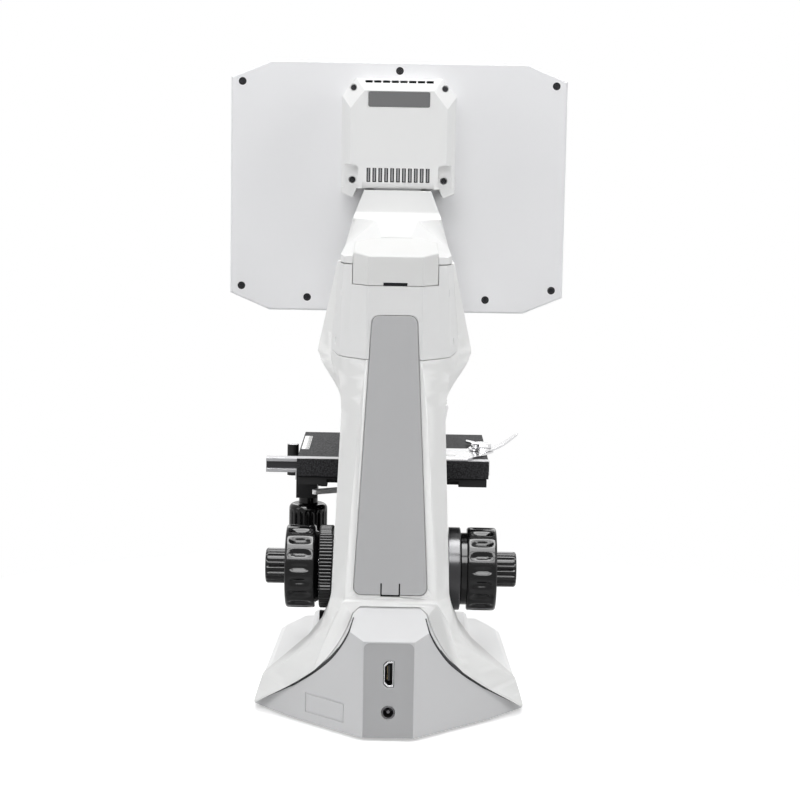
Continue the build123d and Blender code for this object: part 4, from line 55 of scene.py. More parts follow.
camera_data = bpy.data.cameras.new("camera")
camera_data.sensor_width = 36.0
camera_data.lens = 87.75
camera_data.clip_start = 0.05
camera_data.clip_end = 50.0
camera = stand_up("camera", camera_data)
camera_place = (-0.0038, 1.2075, 0.3515)
pitch = math.radians(7.85)
roll = math.radians(1.0)
forward = Vector((0.0, -math.cos(pitch), -math.sin(pitch)))
level_right = Vector((-1.0, 0.0, 0.0))
level_up = level_right.cross(forward)
right = math.cos(roll) * level_right + math.sin(roll) * level_up
up = -math.sin(roll) * level_right + math.cos(roll) * level_up
turn = Matrix((right, up, -forward)).transposed().to_4x4()
camera.matrix_world = Matrix.Translation(camera_place) @ turn
bpy.context.scene.camera = camera


def add_node(tree, kind, settings=None, **plugs):
    """A node with its properties set; each named socket takes a value or a link."""
    node = tree.nodes.new(kind)
    for name, value in (settings or {}).items():
        setattr(node, name, value)
    for name, value in plugs.items():
        socket = node.inputs[int(name[1:])] if name[1:].isdigit() else node.inputs[name.replace("_", " ")]
        if isinstance(value, bpy.types.NodeSocket):
            tree.links.new(value, socket)
        else:
            socket.default_value = value
    return node


def reckon(tree, operation, first, second=0.0):
    """One step of arithmetic on links or plain numbers."""
    return add_node(tree, "ShaderNodeMath", {"operation": operation}, i0=first, i1=second).outputs["Value"]


def noise(tree, where, scale, detail):
    """Soft noise from nought to one, at a scale and a detail."""
    return add_node(tree, "ShaderNodeTexNoise", Vector=where, Scale=scale, Detail=detail).outputs["Fac"]


def ramp(tree, value, start, end, settings=None, low=0.0, high=1.0):
    """From low to high, as a value goes from its start to its end."""
    return add_node(tree, "ShaderNodeMapRange", settings, Value=value, From_Min=start, From_Max=end,
                    To_Min=low, To_Max=high).outputs["Result"]


def seen_rays(tree):
    """One for a ray of the camera, also by way of metal or glass, and nought for a ray that lights."""
    path = add_node(tree, "ShaderNodeLightPath")
    seen = reckon(tree, "MAXIMUM", path.outputs["Is Camera Ray"], path.outputs["Is Transmission Ray"])
    return reckon(tree, "MAXIMUM", seen, path.outputs["Is Glossy Ray"])


full_white = (1.0, 1.0, 1.0, 1.0)
world = bpy.data.worlds.new("studio")
world.use_nodes = True
bpy.context.scene.world = world
sky = world.node_tree
sky.nodes.clear()
fill = add_node(sky, "ShaderNodeBackground", Color=(0.97, 0.98, 1.0, 1.0), Strength=0.36)
white = add_node(sky, "ShaderNodeBackground", Color=full_white, Strength=1.0)
choose = add_node(sky, "ShaderNodeMixShader", Fac=seen_rays(sky), i1=fill.outputs[0], i2=white.outputs[0])
add_node(sky, "ShaderNodeOutputWorld", Surface=choose.outputs[0])

paper = bpy.data.materials.new("bench_paper")
paper.use_nodes = True
sheet = paper.node_tree
sheet.nodes.clear()
seen = seen_rays(sheet)
where = add_node(sheet, "ShaderNodeTexCoord").outputs["Object"]
reach = add_node(sheet, "ShaderNodeVectorMath", {"operation": "LENGTH"}, i0=where).outputs["Value"]
far = ramp(sheet, reach, 0.16, 0.42)
fibre = noise(sheet, where, 900.0, 3.0)
tone = add_node(sheet, "ShaderNodeMix", {"data_type": "RGBA"}, i0=fibre, i6=(0.79, 0.79, 0.79, 1.0),
                i7=(0.81, 0.81, 0.81, 1.0)).outputs[2]
diffuse = add_node(sheet, "ShaderNodeBsdfDiffuse", Color=tone)
glow = add_node(sheet, "ShaderNodeEmission", Color=full_white, Strength=reckon(sheet, "MULTIPLY", seen, 0.45))
near = add_node(sheet, "ShaderNodeAddShader", i0=diffuse.outputs[0], i1=glow.outputs[0])
clean = add_node(sheet, "ShaderNodeEmission", Color=full_white, Strength=1.0)
blank = add_node(sheet, "ShaderNodeMixShader", Fac=reckon(sheet, "MULTIPLY", far, seen), i1=near.outputs[0],
                 i2=clean.outputs[0])
add_node(sheet, "ShaderNodeOutputMaterial", Surface=blank.outputs[0])

sweep = bpy.data.meshes.new("bench")
sweep.from_pydata([(-6, -6, 0), (6, -6, 0), (6, 6, 0), (-6, 6, 0)], [], [(0, 1, 2, 3)])
sweep.materials.append(paper)
stand_up("bench", sweep)


def soft_box(name, place, aim, width, height, power):
    """A rectangular lamp at a place, turned to its aim; metres and watts."""
    lamp = bpy.data.lights.new(name, "AREA")
    lamp.shape = "RECTANGLE"
    lamp.size = width
    lamp.size_y = height
    lamp.energy = power
    stand = stand_up(name, lamp)
    direction = Vector(aim) - Vector(place)
    stand.rotation_euler = direction.to_track_quat("-Z", "Y").to_euler()
    stand.location = place
    return stand


soft_box("key_over_camera", (0.3, 1.2, 1.3), (0, 0.05, 0.22), 0.9, 0.5, 5.2)
soft_box("fill_left", (1.3, 0.5, 0.8), (0, 0, 0.2), 0.5, 0.9, 4.6)
soft_box("fill_right", (-1.35, 0.5, 0.85), (0, 0, 0.2), 0.5, 0.9, 5.8)
soft_box("front_fill", (0.0, -1.5, 0.9), (0, 0, 0.2), 1.2, 0.8, 7.0)
soft_box("top", (0.0, 0.12, 1.7), (0, 0.05, 0.2), 0.9, 0.5, 11.0)
# Two large panels that only give gloss: one hangs overhead, one stands high behind the camera.
for panel in (soft_box("gloss_above", (0.0, 0.35, 1.25), (0, 0.25, 0.1), 1.3, 1.0, 62.0),
              soft_box("gloss_behind", (0.0, 1.25, 1.1), (0, 0.05, 0.1), 1.3, 0.5, 26.0)):
    panel.visible_diffuse = False


# ---- Base casting ----
# The foot is one aluminium casting, filled, primed and sprayed with white stoving enamel.
# Its wings slope down to a narrow rim, and the raised dais in front carries the lamp house.
def new_skin(name, **plain):
    """A material with plain shader values; gives it with its tree, shader and Object coordinates."""
    skin = bpy.data.materials.new(name)
    skin.use_nodes = True
    tree = skin.node_tree
    shader = tree.nodes["Principled BSDF"]
    for label, value in plain.items():
        shader.inputs[label.replace("_", " ")].default_value = value
    return skin, tree, shader, add_node(tree, "ShaderNodeTexCoord").outputs["Object"]


def vary_tone(tree, shader, share, colour, other):
    """The colour where the share is nought, and the other colour where it is one."""
    tone = add_node(tree, "ShaderNodeMix", {"data_type": "RGBA"}, i0=share, i6=(*colour, 1.0),
                    i7=(*other, 1.0))
    tree.links.new(tone.outputs[2], shader.inputs["Base Color"])


def vary_gloss(tree, shader, share, low, high, start=0.0, end=1.0):
    """Roughness from low to high, as the share goes from its start to its end."""
    tree.links.new(ramp(tree, share, start, end, None, low, high), shader.inputs["Roughness"])


def raise_relief(tree, shader, height, depth, strength=1.0, invert=False):
    """Relief of a depth in metres."""
    bump = add_node(tree, "ShaderNodeBump", {"invert": invert}, Strength=strength, Distance=depth,
                    Height=height)
    tree.links.new(bump.outputs["Normal"], shader.inputs["Normal"])


def dim(colour, share):
    """A colour with each of its parts times a share."""
    return [part * share for part in colour]


def painted(name, colour, grain, depth, rough_low, rough_high, shine=0.5, metallic=0.0):
    """A sprayed or moulded skin: a fine grain in relief, with tone and gloss drifting slowly."""
    skin, tree, shader, where = new_skin(name, Specular_IOR_Level=shine, Metallic=metallic)
    vary_tone(tree, shader, noise(tree, where, 14.0, 3.0), dim(colour, 0.97), colour)
    vary_gloss(tree, shader, noise(tree, where, 60.0, 4.0), rough_low, rough_high, 0.3, 0.7)
    raise_relief(tree, shader, noise(tree, where, grain, 2.0), depth)
    return skin


def finish_piece(shape, body, slot, *nodes):
    """The last word on a piece: what it moves with, and the solids that it stands for; the slot is not used.
    """
    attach(shape, body)
    if nodes:
        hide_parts(*nodes)
    return shape


def weld_up(mesh, gap, whole=True):
    """Close a mesh's seams, make its flat faces whole again and shade it smooth."""
    work = bmesh.new()
    work.from_mesh(mesh)
    bmesh.ops.remove_doubles(work, verts=work.verts, dist=gap)
    if whole:
        bmesh.ops.dissolve_limit(work, angle_limit=math.radians(0.4), verts=work.verts, edges=work.edges)
    for face in work.faces:
        face.material_index = 0
        face.smooth = True
    work.to_mesh(mesh)
    work.free()


def solid_copy(name, node, skin, whole=True):
    """A welded copy of a solid in its skin."""
    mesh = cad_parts[node].data.copy()
    mesh.name = name
    mesh.materials.clear()
    mesh.materials.append(skin)
    weld_up(mesh, 0.000002, whole)
    return stand_up(name, mesh)


def keep_mesh(shape):
    """Settle what the modifiers give as the plain mesh."""
    settled = bpy.data.meshes.new_from_object(shape.evaluated_get(bpy.context.evaluated_depsgraph_get()))
    shape.modifiers.clear()
    shape.data = settled
    settled.name = shape.name
    return shape


def soften(shape, width):
    """Round off the sharp edges, as casting, moulding or tumbling leaves them."""
    round_off = shape.modifiers.new("edges", "BEVEL")
    round_off.width = width / 1000.0
    round_off.segments = 2
    round_off.limit_method = "ANGLE"
    round_off.angle_limit = math.radians(28.0)
    round_off.miter_outer = "MITER_ARC"
    round_off.use_clamp_overlap = True
    level = shape.modifiers.new("level", "WEIGHTED_NORMAL")
    level.keep_sharp = True
    return keep_mesh(shape)


def broken_edges(node, body, name, width, skin, slot, inset=None, where=None, whole=True):
    """A solid with its edges rounded off; faces that where() picks take the inset skin."""
    shape = solid_copy(name, node, skin, whole)
    if inset:
        shape.data.materials.append(inset)
        for face in shape.data.polygons:
            if where(face.center * 1000.0, face.normal):
                face.material_index = 1
    soften(shape, width)
    return finish_piece(shape, body, slot, node)


# The foot's enamel is painted lighter than the arm's: a painted light on the wings.
foot_enamel_lit = painted("foot_enamel_lit", (0.95, 0.95, 0.945), 520.0, 0.000012, 0.52, 0.62, shine=0.15)
broken_edges("base_casting", "stand", "base_foot", 0.7, foot_enamel_lit, "white_enamel")


# ---- Bottom plate, its screws and the feet ----
# A black pressed steel plate closes the base and the arm's skirt from below. Six pan-head screws
# hold it, and four rubber feet are pressed into its wells.
def wrinkled(name, colour, cell, depth, rough_low, rough_high, crest_highlight):
    """Stoved wrinkle paint: shrunken cells whose crests are painted lighter, a painted highlight."""
    skin, tree, shader, where = new_skin(name, Specular_IOR_Level=0.12)
    stray = add_node(tree, "ShaderNodeTexNoise", Vector=where, Scale=cell * 0.5, Detail=2.0).outputs["Color"]
    bent = add_node(tree, "ShaderNodeMix", {"data_type": "RGBA"}, i0=0.0008, i6=where, i7=stray).outputs[2]
    cells = add_node(tree, "ShaderNodeTexVoronoi", {"feature": "SMOOTH_F1"}, Vector=bent, Scale=cell)
    cells = cells.outputs["Distance"]
    crest = ramp(tree, cells, 0.15, 0.6)
    # The crests take the lighter colour: a painted highlight.
    vary_tone(tree, shader, crest, crest_highlight, colour)
    vary_gloss(tree, shader, crest, rough_low, rough_high)
    raise_relief(tree, shader, cells, depth, invert=True)
    return skin


def start_tree(name, **inputs):
    """A node tree for shapes, with named inputs for its sizes; an underscore stands for a blank."""
    tree = bpy.data.node_groups.new(name, "GeometryNodeTree")
    tree.interface.new_socket("Geometry", in_out="OUTPUT", socket_type="NodeSocketGeometry")
    tree.interface.new_socket("Geometry", in_out="INPUT", socket_type="NodeSocketGeometry")
    for label, kind in inputs.items():
        tree.interface.new_socket(label.replace("_", " "), in_out="INPUT", socket_type="NodeSocket" + kind)
    tree.interface.new_socket("Skin", in_out="INPUT", socket_type="NodeSocketMaterial")
    return tree, tree.nodes.new("NodeGroupInput").outputs


def end_tree(tree, given, geometry):
    """Make what was grown real, in its skin."""
    real = add_node(tree, "GeometryNodeRealizeInstances", Geometry=geometry).outputs[0]
    dressed = add_node(tree, "GeometryNodeSetMaterial", Geometry=real, Material=given["Skin"]).outputs[0]
    out = tree.nodes.new("NodeGroupOutput")
    tree.links.new(dressed, out.inputs["Geometry"])


def grow(name, mesh, tree, sizes):
    """Pass a mesh through a tree, and keep the plain mesh that comes out."""
    shape = stand_up(name, mesh)
    step = shape.modifiers.new("grow", "NODES")
    step.node_group = tree
    for item in tree.interface.items_tree:
        if item.item_type == "SOCKET" and item.in_out == "INPUT" and item.name in sizes:
            step[item.identifier] = sizes[item.name]
    return keep_mesh(shape)


def at(x, y, z):
    """A place in metres from millimetres about the optical axis, with y to the rear."""
    axis_y = -37.5
    return Vector((x, axis_y + y, z)) / 1000.0


def in_metres(sizes):
    """Sizes by name, each a number or three of them, from millimetres to metres."""
    return {label: tuple(part / 1000.0 for part in size) if isinstance(size, tuple) else size / 1000.0
            for label, size in sizes.items()}


# A cross-recessed screw on every point, turned the way that the point's aim says.
screws, given = start_tree("screws", Head_Radius="Float", Head_Height="Float", Cross_Length="Float",
                           Cross_Width="Float", Shank_Radius="Float", Shank_Length="Float")
tip_radius = reckon(screws, "MULTIPLY", given["Head Radius"], 0.84)
dome = add_node(screws, "GeometryNodeMeshCone", Vertices=28, Side_Segments=2, Radius_Top=tip_radius,
                Radius_Bottom=given["Head Radius"], Depth=given["Head Height"]).outputs["Mesh"]
wide = add_node(screws, "ShaderNodeCombineXYZ", X=given["Cross Length"], Y=given["Cross Width"],
                Z=given["Head Height"]).outputs[0]
tall = add_node(screws, "ShaderNodeCombineXYZ", X=given["Cross Width"], Y=given["Cross Length"],
                Z=given["Head Height"]).outputs[0]
lift = add_node(screws, "ShaderNodeCombineXYZ", Z=given["Head Height"]).outputs[0]
cross = []
for size in (wide, tall):
    bar = add_node(screws, "GeometryNodeMeshCube", Size=size).outputs["Mesh"]
    cross.append(add_node(screws, "GeometryNodeTransform", Geometry=bar, Translation=lift).outputs[0])
cut = add_node(screws, "GeometryNodeMeshBoolean", {"operation": "DIFFERENCE", "solver": "EXACT"}, i0=dome)
for bar in cross:
    screws.links.new(bar, cut.inputs[1])
shank = add_node(screws, "GeometryNodeMeshCylinder", Vertices=14, Radius=given["Shank Radius"],
                 Depth=given["Shank Length"]).outputs["Mesh"]
# The shank's middle goes down by just under half its length, so that its end stays in the head.
drop = reckon(screws, "MULTIPLY", given["Shank Length"], -0.499)
sink = add_node(screws, "ShaderNodeCombineXYZ", Z=drop).outputs[0]
shank = add_node(screws, "GeometryNodeTransform", Geometry=shank, Translation=sink).outputs[0]
whole = add_node(screws, "GeometryNodeJoinGeometry")
screws.links.new(cut.outputs[0], whole.inputs[0])
screws.links.new(shank, whole.inputs[0])
aim = add_node(screws, "GeometryNodeInputNamedAttribute", {"data_type": "FLOAT_VECTOR"}, Name="aim")
facing = add_node(screws, "FunctionNodeAlignRotationToVector", {"axis": "Z"}, Vector=aim.outputs[0])
placed = add_node(screws, "GeometryNodeInstanceOnPoints", Points=given["Geometry"], Instance=whole.outputs[0],
                  Rotation=facing.outputs[0]).outputs[0]
end_tree(screws, given, placed)


def screw_set(name, body, node, slot, skin, spots, head_radius, head_height, shank_radius, shank_length):
    """Screws at a list of (place, aim); sizes in millimetres."""
    mesh = bpy.data.meshes.new(name)
    mesh.from_pydata([place for place, aim in spots], [], [])
    aims = mesh.attributes.new("aim", "FLOAT_VECTOR", "POINT")
    for item, (place, aim) in zip(aims.data, spots):
        item.vector = aim
    sizes = in_metres({
        "Head Radius": head_radius, "Head Height": head_height, "Cross Length": head_radius * 1.25,
        "Cross Width": head_radius * 0.3, "Shank Radius": shank_radius, "Shank Length": shank_length})
    return finish_piece(grow(name, mesh, screws, {**sizes, "Skin": skin}), body, slot, node)


black_paint = wrinkled("black_wrinkle_paint", (0.016, 0.016, 0.018), 900.0, 0.00005, 0.35, 0.6,
                       (0.03, 0.03, 0.032))
floor_plate = broken_edges("base_bottom_plate", "stand", "floor_plate", 0.25, black_paint, "black_metal")
foot_rubber = painted("foot_rubber", (0.02, 0.02, 0.02), 1800.0, 0.00003, 0.75, 0.9)
broken_edges("rubber_feet", "stand", "bench_feet", 0.6, foot_rubber, "rubber")
screw_black = painted("blackened_steel", (0.02, 0.02, 0.022), 2200.0, 0.000004, 0.28, 0.42, metallic=0.7)
plate_screw_spots = [(at(side * x, y, 3.0), (0, 0, -1)) for side in (1, -1)
                     for x, y in ((49.5, -46), (65, 20), (65, 68))]
screw_set("floor_plate_screws", "stand", "base_plate_screws", "screw_black", screw_black, plate_screw_spots,
          2.8, 1.0, 1.5, 8.0)


# ---- Arm casting ----
# The arm is the second casting: a bell-shaped skirt that spreads over the rear of the foot, a
# column that narrows upwards, the box for the focus drive in front of it, and the head that the
# screen and the nosepiece hang from. All of it is one piece in the same enamel as the foot, whose
# copy of the enamel is painted lighter, a painted light.
white_enamel = painted("white_enamel", (0.80, 0.80, 0.79), 520.0, 0.000012, 0.52, 0.62, shine=0.15)
arm = solid_copy("arm_body", "arm_casting", white_enamel)
for node in ("head_casting", "focus_housing"):
    part = solid_copy("arm_part", node, white_enamel)
    weld = arm.modifiers.new("weld", "BOOLEAN")
    weld.operation = "UNION"
    weld.solver = "EXACT"
    weld.object = part
    keep_mesh(arm)
    bpy.data.objects.remove(part)
weld_up(arm.data, 0.000004)
soften(arm, 0.7)
finish_piece(arm, "stand", "white_enamel", "arm_casting", "head_casting", "focus_housing")


# ---- Head covers ----
# Moulded shells close the head: one over its back, one roof with the neck for the screen, and
# a cap over the top of the column. Each butts on the next with a narrow shut line, and the cap
# has a finger slot whose inside is painted black, a painted shade.
cover_white = painted("cover_white", (0.79, 0.79, 0.785), 1500.0, 0.000008, 0.5, 0.62, shine=0.15)
painted_shade_black = painted("painted_shade_black", (0.006, 0.006, 0.0065), 1500.0, 0.00001, 0.6, 0.8, shine=0.12)
broken_edges("upper_arm_cover", "stand", "head_back_shell", 0.4, cover_white, "white_plastic")
broken_edges("head_top_cover", "stand", "head_roof_shell", 0.7, cover_white, "white_plastic")


def in_cap_slot(centre, normal):
    return abs(centre.x) < 7.1 and 81.0 < centre.y < 87.45 and 262.9 < centre.z < 265.2


# The cap is painted darker than the other white shells: a painted shade on its face.
cap_white_shaded = painted("cap_white_shaded", (0.74, 0.74, 0.73), 1500.0, 0.000008, 0.5, 0.62, shine=0.15)
broken_edges("arm_cap", "stand", "column_cap", 0.5, cap_white_shaded, "white_plastic", inset=painted_shade_black,
             where=in_cap_slot)


# ---- Rear access cover ----
# A long grey moulding lets into the back of the column over the wiring. It clips in at its top
# and is released by the sprung tab at its foot.
cover_grey = painted("cover_grey", (0.50, 0.50, 0.505), 1900.0, 0.00002, 0.55, 0.65, shine=0.15)
broken_edges("rear_access_cover", "access_cover", "wiring_cover", 0.4, cover_grey, "grey_plastic")


# ---- Cover screws ----
# Two screws on each side hold the back shell to the head. Their heads sit just under its skin.
bright_screw = painted("zinc_screw", (0.62, 0.62, 0.63), 2200.0, 0.000003, 0.22, 0.34, metallic=1.0)
cover_screw_spots = [(at(side * (x - 1.6), y, z), (side, 0, 0)) for side in (1, -1)
                     for x, y, z in ((31.93, 100.0, 257.5), (35.24, 88.0, 227.5))]
screw_set("back_shell_screws", "stand", "arm_cover_screws", "steel", bright_screw, cover_screw_spots,
          2.4, 1.2, 1.5, 5.0)


# ---- Connector cover and sockets ----
# A pale moulding at the tail carries the picture socket and the power socket, in a sunk strip
# with a slightly darker texture, painted darker still as painted shade.
tail_white = painted("tail_white", (0.645, 0.645, 0.65), 1500.0, 0.000012, 0.52, 0.62, shine=0.12)
strip_grey_with_shade = painted("strip_grey_with_shade", (0.46, 0.46, 0.465), 1500.0, 0.000016, 0.55, 0.65, shine=0.12)


def in_strip(centre, normal):
    return abs(centre.x) < 14.7 and normal.y > 0.9 and 111.9 < centre.y < 112.3


socket_cover = broken_edges("rear_connector_cover", "stand", "socket_cover", 0.5, tail_white,
                            "light_grey_plastic", inset=strip_grey_with_shade, where=in_strip)

# Half width and distance to the rear of the cover's wall at the strip, the hip and the corner.
strip_x, strip_y = 15.0, 150.0
hip_x, hip_y = 60.0, 112.5
corner_x, corner_y = 82.0, 92.0
# The wall's upper part leans in from the back to the lip.
lean_y, lean_z, lean_slope = 125.0, 74.0, 25.0 / 14.5
tuck_from, hip_tuck, corner_tuck = 20.0, 3.2, 5.0
tuck_behind = 0.03


def tuck_at(reach):
    """How far the wall is drawn in under the skirt's lip at a half width, more towards the corners."""
    to_hip = max(0.0, min(reach, hip_x) - tuck_from) * hip_tuck / (hip_x - tuck_from)
    return to_hip + max(0.0, reach - hip_x) * corner_tuck / (corner_x - hip_x)


for shape in (socket_cover, floor_plate):
    for vertex in shape.data.vertices:
        if vertex.co.y > tuck_behind:
            vertex.co.y -= tuck_at(abs(vertex.co.x) * 1000.0) / 1000.0


def wall_at(reach, height):
    """How far to the rear the tucked wall stands at a half width and a height."""
    if reach < hip_x:
        wall = strip_y - max(0.0, reach - strip_x) * (strip_y - hip_y) / (hip_x - strip_x)
    else:
        wall = hip_y - (reach - hip_x) * (hip_y - corner_y) / (corner_x - hip_x)
    lean = lean_y + (lean_z - height) * lean_slope
    return min(wall, lean) - tuck_at(reach)


def mesh_of(work, name, *skins):
    """What was built, settled as a plain mesh in its skins."""
    mesh = bpy.data.meshes.new(name)
    work.to_mesh(mesh)
    work.free()
    for skin in skins:
        mesh.materials.append(skin)
    return mesh


# A dark bead fills the joint between the cover and the skirt's lip on each flank, and grows
# wider where the lip stands further out: a painted shadow under the lip.
shadow_bead_skin = painted("shadow_bead_skin", (0.05, 0.05, 0.052), 1800.0, 0.00002, 0.7, 0.85, shine=0.2)
bead_path = [(21.4, 69.5), (24.6, 61.5), (29.0, 53.0), (35.6, 43.5), (45.0, 33.8), (54.0, 26.0), (63.0, 18.8),
             (72.0, 11.8), (80.0, 5.6)]
bead_width = [0.8, 1.1, 1.5, 2.1, 2.6, 3.0, 3.2, 3.4, 2.6]
# Each point of the section is a share of the width and a height over the wall.
bead_section = ((-0.1, -2.5), (-0.1, 0.9), (0.5, 0.8), (1.0, 0.15), (1.0, -2.5))
span_steps = 4
last = len(bead_path) - 1
work = bmesh.new()
for side in (1, -1):
    rings = []
    for step in range(span_steps * last + 1):
        spot = min(step / span_steps, last - 0.0001)
        k, part = int(spot), spot - int(spot)
        around = [Vector(bead_path[max(0, min(last, k + shift))]) for shift in (-1, 0, 1, 2)]
        before, start, end, after = around
        bend = 2 * before - 5 * start + 4 * end - after
        swing = 3 * start - before - 3 * end + after
        place = 0.5 * (2 * start + (end - before) * part + bend * part ** 2 + swing * part ** 3)
        run = ((end - before) * (1 - part) + (after - start) * part).normalized()
        inward = Vector((run.y, -run.x))
        if inward.x > 0:
            inward = -inward
        width = bead_width[k] + (bead_width[min(k + 1, last)] - bead_width[k]) * part
        wall = wall_at(place.x, place.y)
        ring = []
        for share, lift in bead_section:
            spot = place + inward * width * share
            ring.append(work.verts.new(at(side * spot.x, wall + lift, spot.y)))
        rings.append(ring)
    for low, high in zip(rings, rings[1:]):
        for k, after in ((0, 1), (1, 2), (2, 3), (3, 4), (4, 0)):
            work.faces.new((low[k], low[after], high[after], high[k]))
    for cap in (rings[0], rings[-1]):
        work.faces.new(cap)
bmesh.ops.recalc_face_normals(work, faces=work.faces)
for face in work.faces:
    face.smooth = True
finish_piece(stand_up("lip_shadow_bead", mesh_of(work, "lip_shadow_bead", shadow_bead_skin)), "stand", "rubber")


def machined(name, colour, rough_low, rough_high, lay, depth=0.000003, metallic=1.0):
    """Turned, ground or drawn metal: fine lines whose lay is a stretch along each axis."""
    skin, tree, shader, where = new_skin(name, Metallic=metallic)
    drawn = add_node(tree, "ShaderNodeMapping", Vector=where, Scale=lay).outputs["Vector"]
    lines = noise(tree, drawn, 1.0, 5.0)
    vary_tone(tree, shader, lines, dim(colour, 0.9), colour)
    vary_gloss(tree, shader, lines, rough_low, rough_high, 0.3, 0.7)
    raise_relief(tree, shader, lines, depth, strength=0.6)
    return skin


socket_steel = machined("socket_steel", (0.6, 0.6, 0.61), 0.2, 0.34, (300.0, 300.0, 2600.0))
socket_black = painted("socket_black", (0.01, 0.01, 0.01), 1500.0, 0.000008, 0.35, 0.5)
contact_gold = machined("contact_gold", (0.8, 0.6, 0.28), 0.18, 0.3, (2600.0, 300.0, 300.0))


def in_picture_socket(centre, normal):
    return abs(centre.x) < 2.4 and centre.y < 111.6 and 33.3 < centre.z < 47.0


broken_edges("hdmi_receptacle", "stand", "picture_socket", 0.12, socket_steel, "steel", inset=socket_black,
             where=in_picture_socket)


def on_power_pin(centre, normal):
    return centre.x ** 2 + (centre.z - 17.3) ** 2 < 1.2 ** 2


pin_dark = machined("pin_dark", (0.12, 0.12, 0.125), 0.3, 0.4, (900.0, 900.0, 900.0), metallic=0.6)
broken_edges("dc_power_jack", "stand", "power_socket", 0.12, socket_black, "dark_plastic", inset=pin_dark,
             where=on_power_pin)

# A row of blocks a step apart; every so many of them is longer.
rows, given = start_tree("rows", Count="Int", Start="Vector", Step="Vector", Block="Vector", Every="Float",
                         Longer="Vector")
line = add_node(rows, "GeometryNodeMeshLine", {"mode": "OFFSET"}, Count=given["Count"],
                Start_Location=given["Start"], Offset=given["Step"]).outputs["Mesh"]
brick = add_node(rows, "GeometryNodeMeshCube", Size=given["Block"]).outputs["Mesh"]
order = reckon(rows, "MODULO", add_node(rows, "GeometryNodeInputIndex").outputs[0], given["Every"])
major = reckon(rows, "LESS_THAN", order, 0.5)
stretch = add_node(rows, "ShaderNodeMix", {"data_type": "VECTOR"}, i0=major, i4=(1.0, 1.0, 1.0),
                   i5=given["Longer"]).outputs[1]
placed = add_node(rows, "GeometryNodeInstanceOnPoints", Points=line, Instance=brick, Scale=stretch).outputs[0]
end_tree(rows, given, placed)


def block_row(name, body, slot, skin, count, start, step, block, every=1.0, longer=(1.0, 1.0, 1.0)):
    """Equal blocks in a row; start is in millimetres about the optical axis."""
    shape = grow(name, bpy.data.meshes.new(name), rows, {
        **in_metres({"Step": step, "Block": block}), "Count": count, "Start": tuple(at(*start)),
        "Every": every, "Longer": longer, "Skin": skin})
    return finish_piece(shape, body, slot)


block_row("picture_socket_contacts", "stand", "brass", contact_gold, 9, (0.78, 143.0, 36.4), (0, 0, 0.9),
          (0.14, 5.0, 0.4))


# ---- Painted shade behind the slots ----
# Black blocks stand behind the finger slot of the cap and the slots that free the
# wiring cover's sprung tab: painted shade that darkens the slots.
for name, body, count, start, pitch, block in (
        ("cap_slot_shade_block", "stand", 1, (0.0, 122.2, 263.95), 0, (13.8, 5.2, 1.6)),
        ("tab_foot_shade_block", "stand", 1, (0.0, 123.3, 80.7), 0, (11.4, 1.4, 1.1)),
        ("tab_side_shade_block", "access_cover", 2, (-5.4, 124.0, 84.8), 10.8, (0.78, 1.6, 6.9))):
    block_row(name, body, "dark_plastic", painted_shade_black, count, start, (pitch, 0, 0), block)


# ---- Connector board ----
# A small glass-fibre board behind the sockets, which are soldered to it. The boards of the camera
# and the screen are made the same way, and take the same green resist.
def circuit(name, colour):
    """A lacquered board: tracks and pads show through the green resist."""
    skin, tree, shader, where = new_skin(name, Roughness=0.32)
    tracks = add_node(tree, "ShaderNodeTexVoronoi", {"distance": "CHEBYCHEV", "feature": "F1"}, Vector=where,
                      Scale=220.0).outputs["Distance"]
    step = ramp(tree, tracks, 0.36, 0.42)
    vary_tone(tree, shader, step, colour, dim(colour, 1.7))
    raise_relief(tree, shader, step, 0.00003, strength=0.8)
    return skin


board_green = circuit("board_green", (0.012, 0.09, 0.035))
broken_edges("connector_board", "stand", "socket_board", 0.15, board_green, "board_green")


# ---- Screen housing ----
# Two white mouldings make a shallow case with clipped corners: the back and the front frame. The
# panel lies in a rebate of the frame behind a glass, and its driver board stands on the back.
case_white = painted("case_white", (0.81, 0.81, 0.82), 1700.0, 0.00001, 0.52, 0.62, shine=0.15)
painted_well_shade = painted("painted_well_shade", (0.02, 0.02, 0.021), 1500.0, 0.00001, 0.5, 0.7, shine=0.2)
case_spots = [(0.0, 390.4)] + [(side * x, z) for side in (1, -1)
                              for x, z in ((102.6, 382.2), (102.6, 248.5), (59.0, 241.5))]


# The walls of the screw wells in the case back are painted black: a painted shade.
def in_case_sink(centre, normal):
    return centre.y > -84.2 and any(math.hypot(centre.x - x, centre.z - z) < 2.6 for x, z in case_spots)


broken_edges("lcd_rear_cover", "screen", "screen_back", 0.5, case_white, "white_plastic", inset=painted_well_shade,
             where=in_case_sink)
broken_edges("lcd_bezel", "screen", "screen_frame", 0.5, case_white, "white_plastic")


def glazed(name, colour, rough_low, rough_high, clear):
    """Glass: polished, with the faintest waviness and smear in its gloss."""
    skin, tree, shader, where = new_skin(name, Transmission_Weight=clear, IOR=1.52)
    smear = noise(tree, where, 35.0, 4.0)
    vary_tone(tree, shader, smear, dim(colour, 0.96), colour)
    vary_gloss(tree, shader, smear, rough_low, rough_high)
    return skin


panel_glass = glazed("panel_glass", (0.012, 0.013, 0.016), 0.04, 0.09, 0.0)
broken_edges("lcd_panel", "screen", "screen_glass", 0.2, panel_glass, "screen_glass")
broken_edges("display_board", "screen", "driver_board", 0.15, board_green, "board_green", inset=socket_black,
             where=lambda centre, normal: centre.y < -91.5)


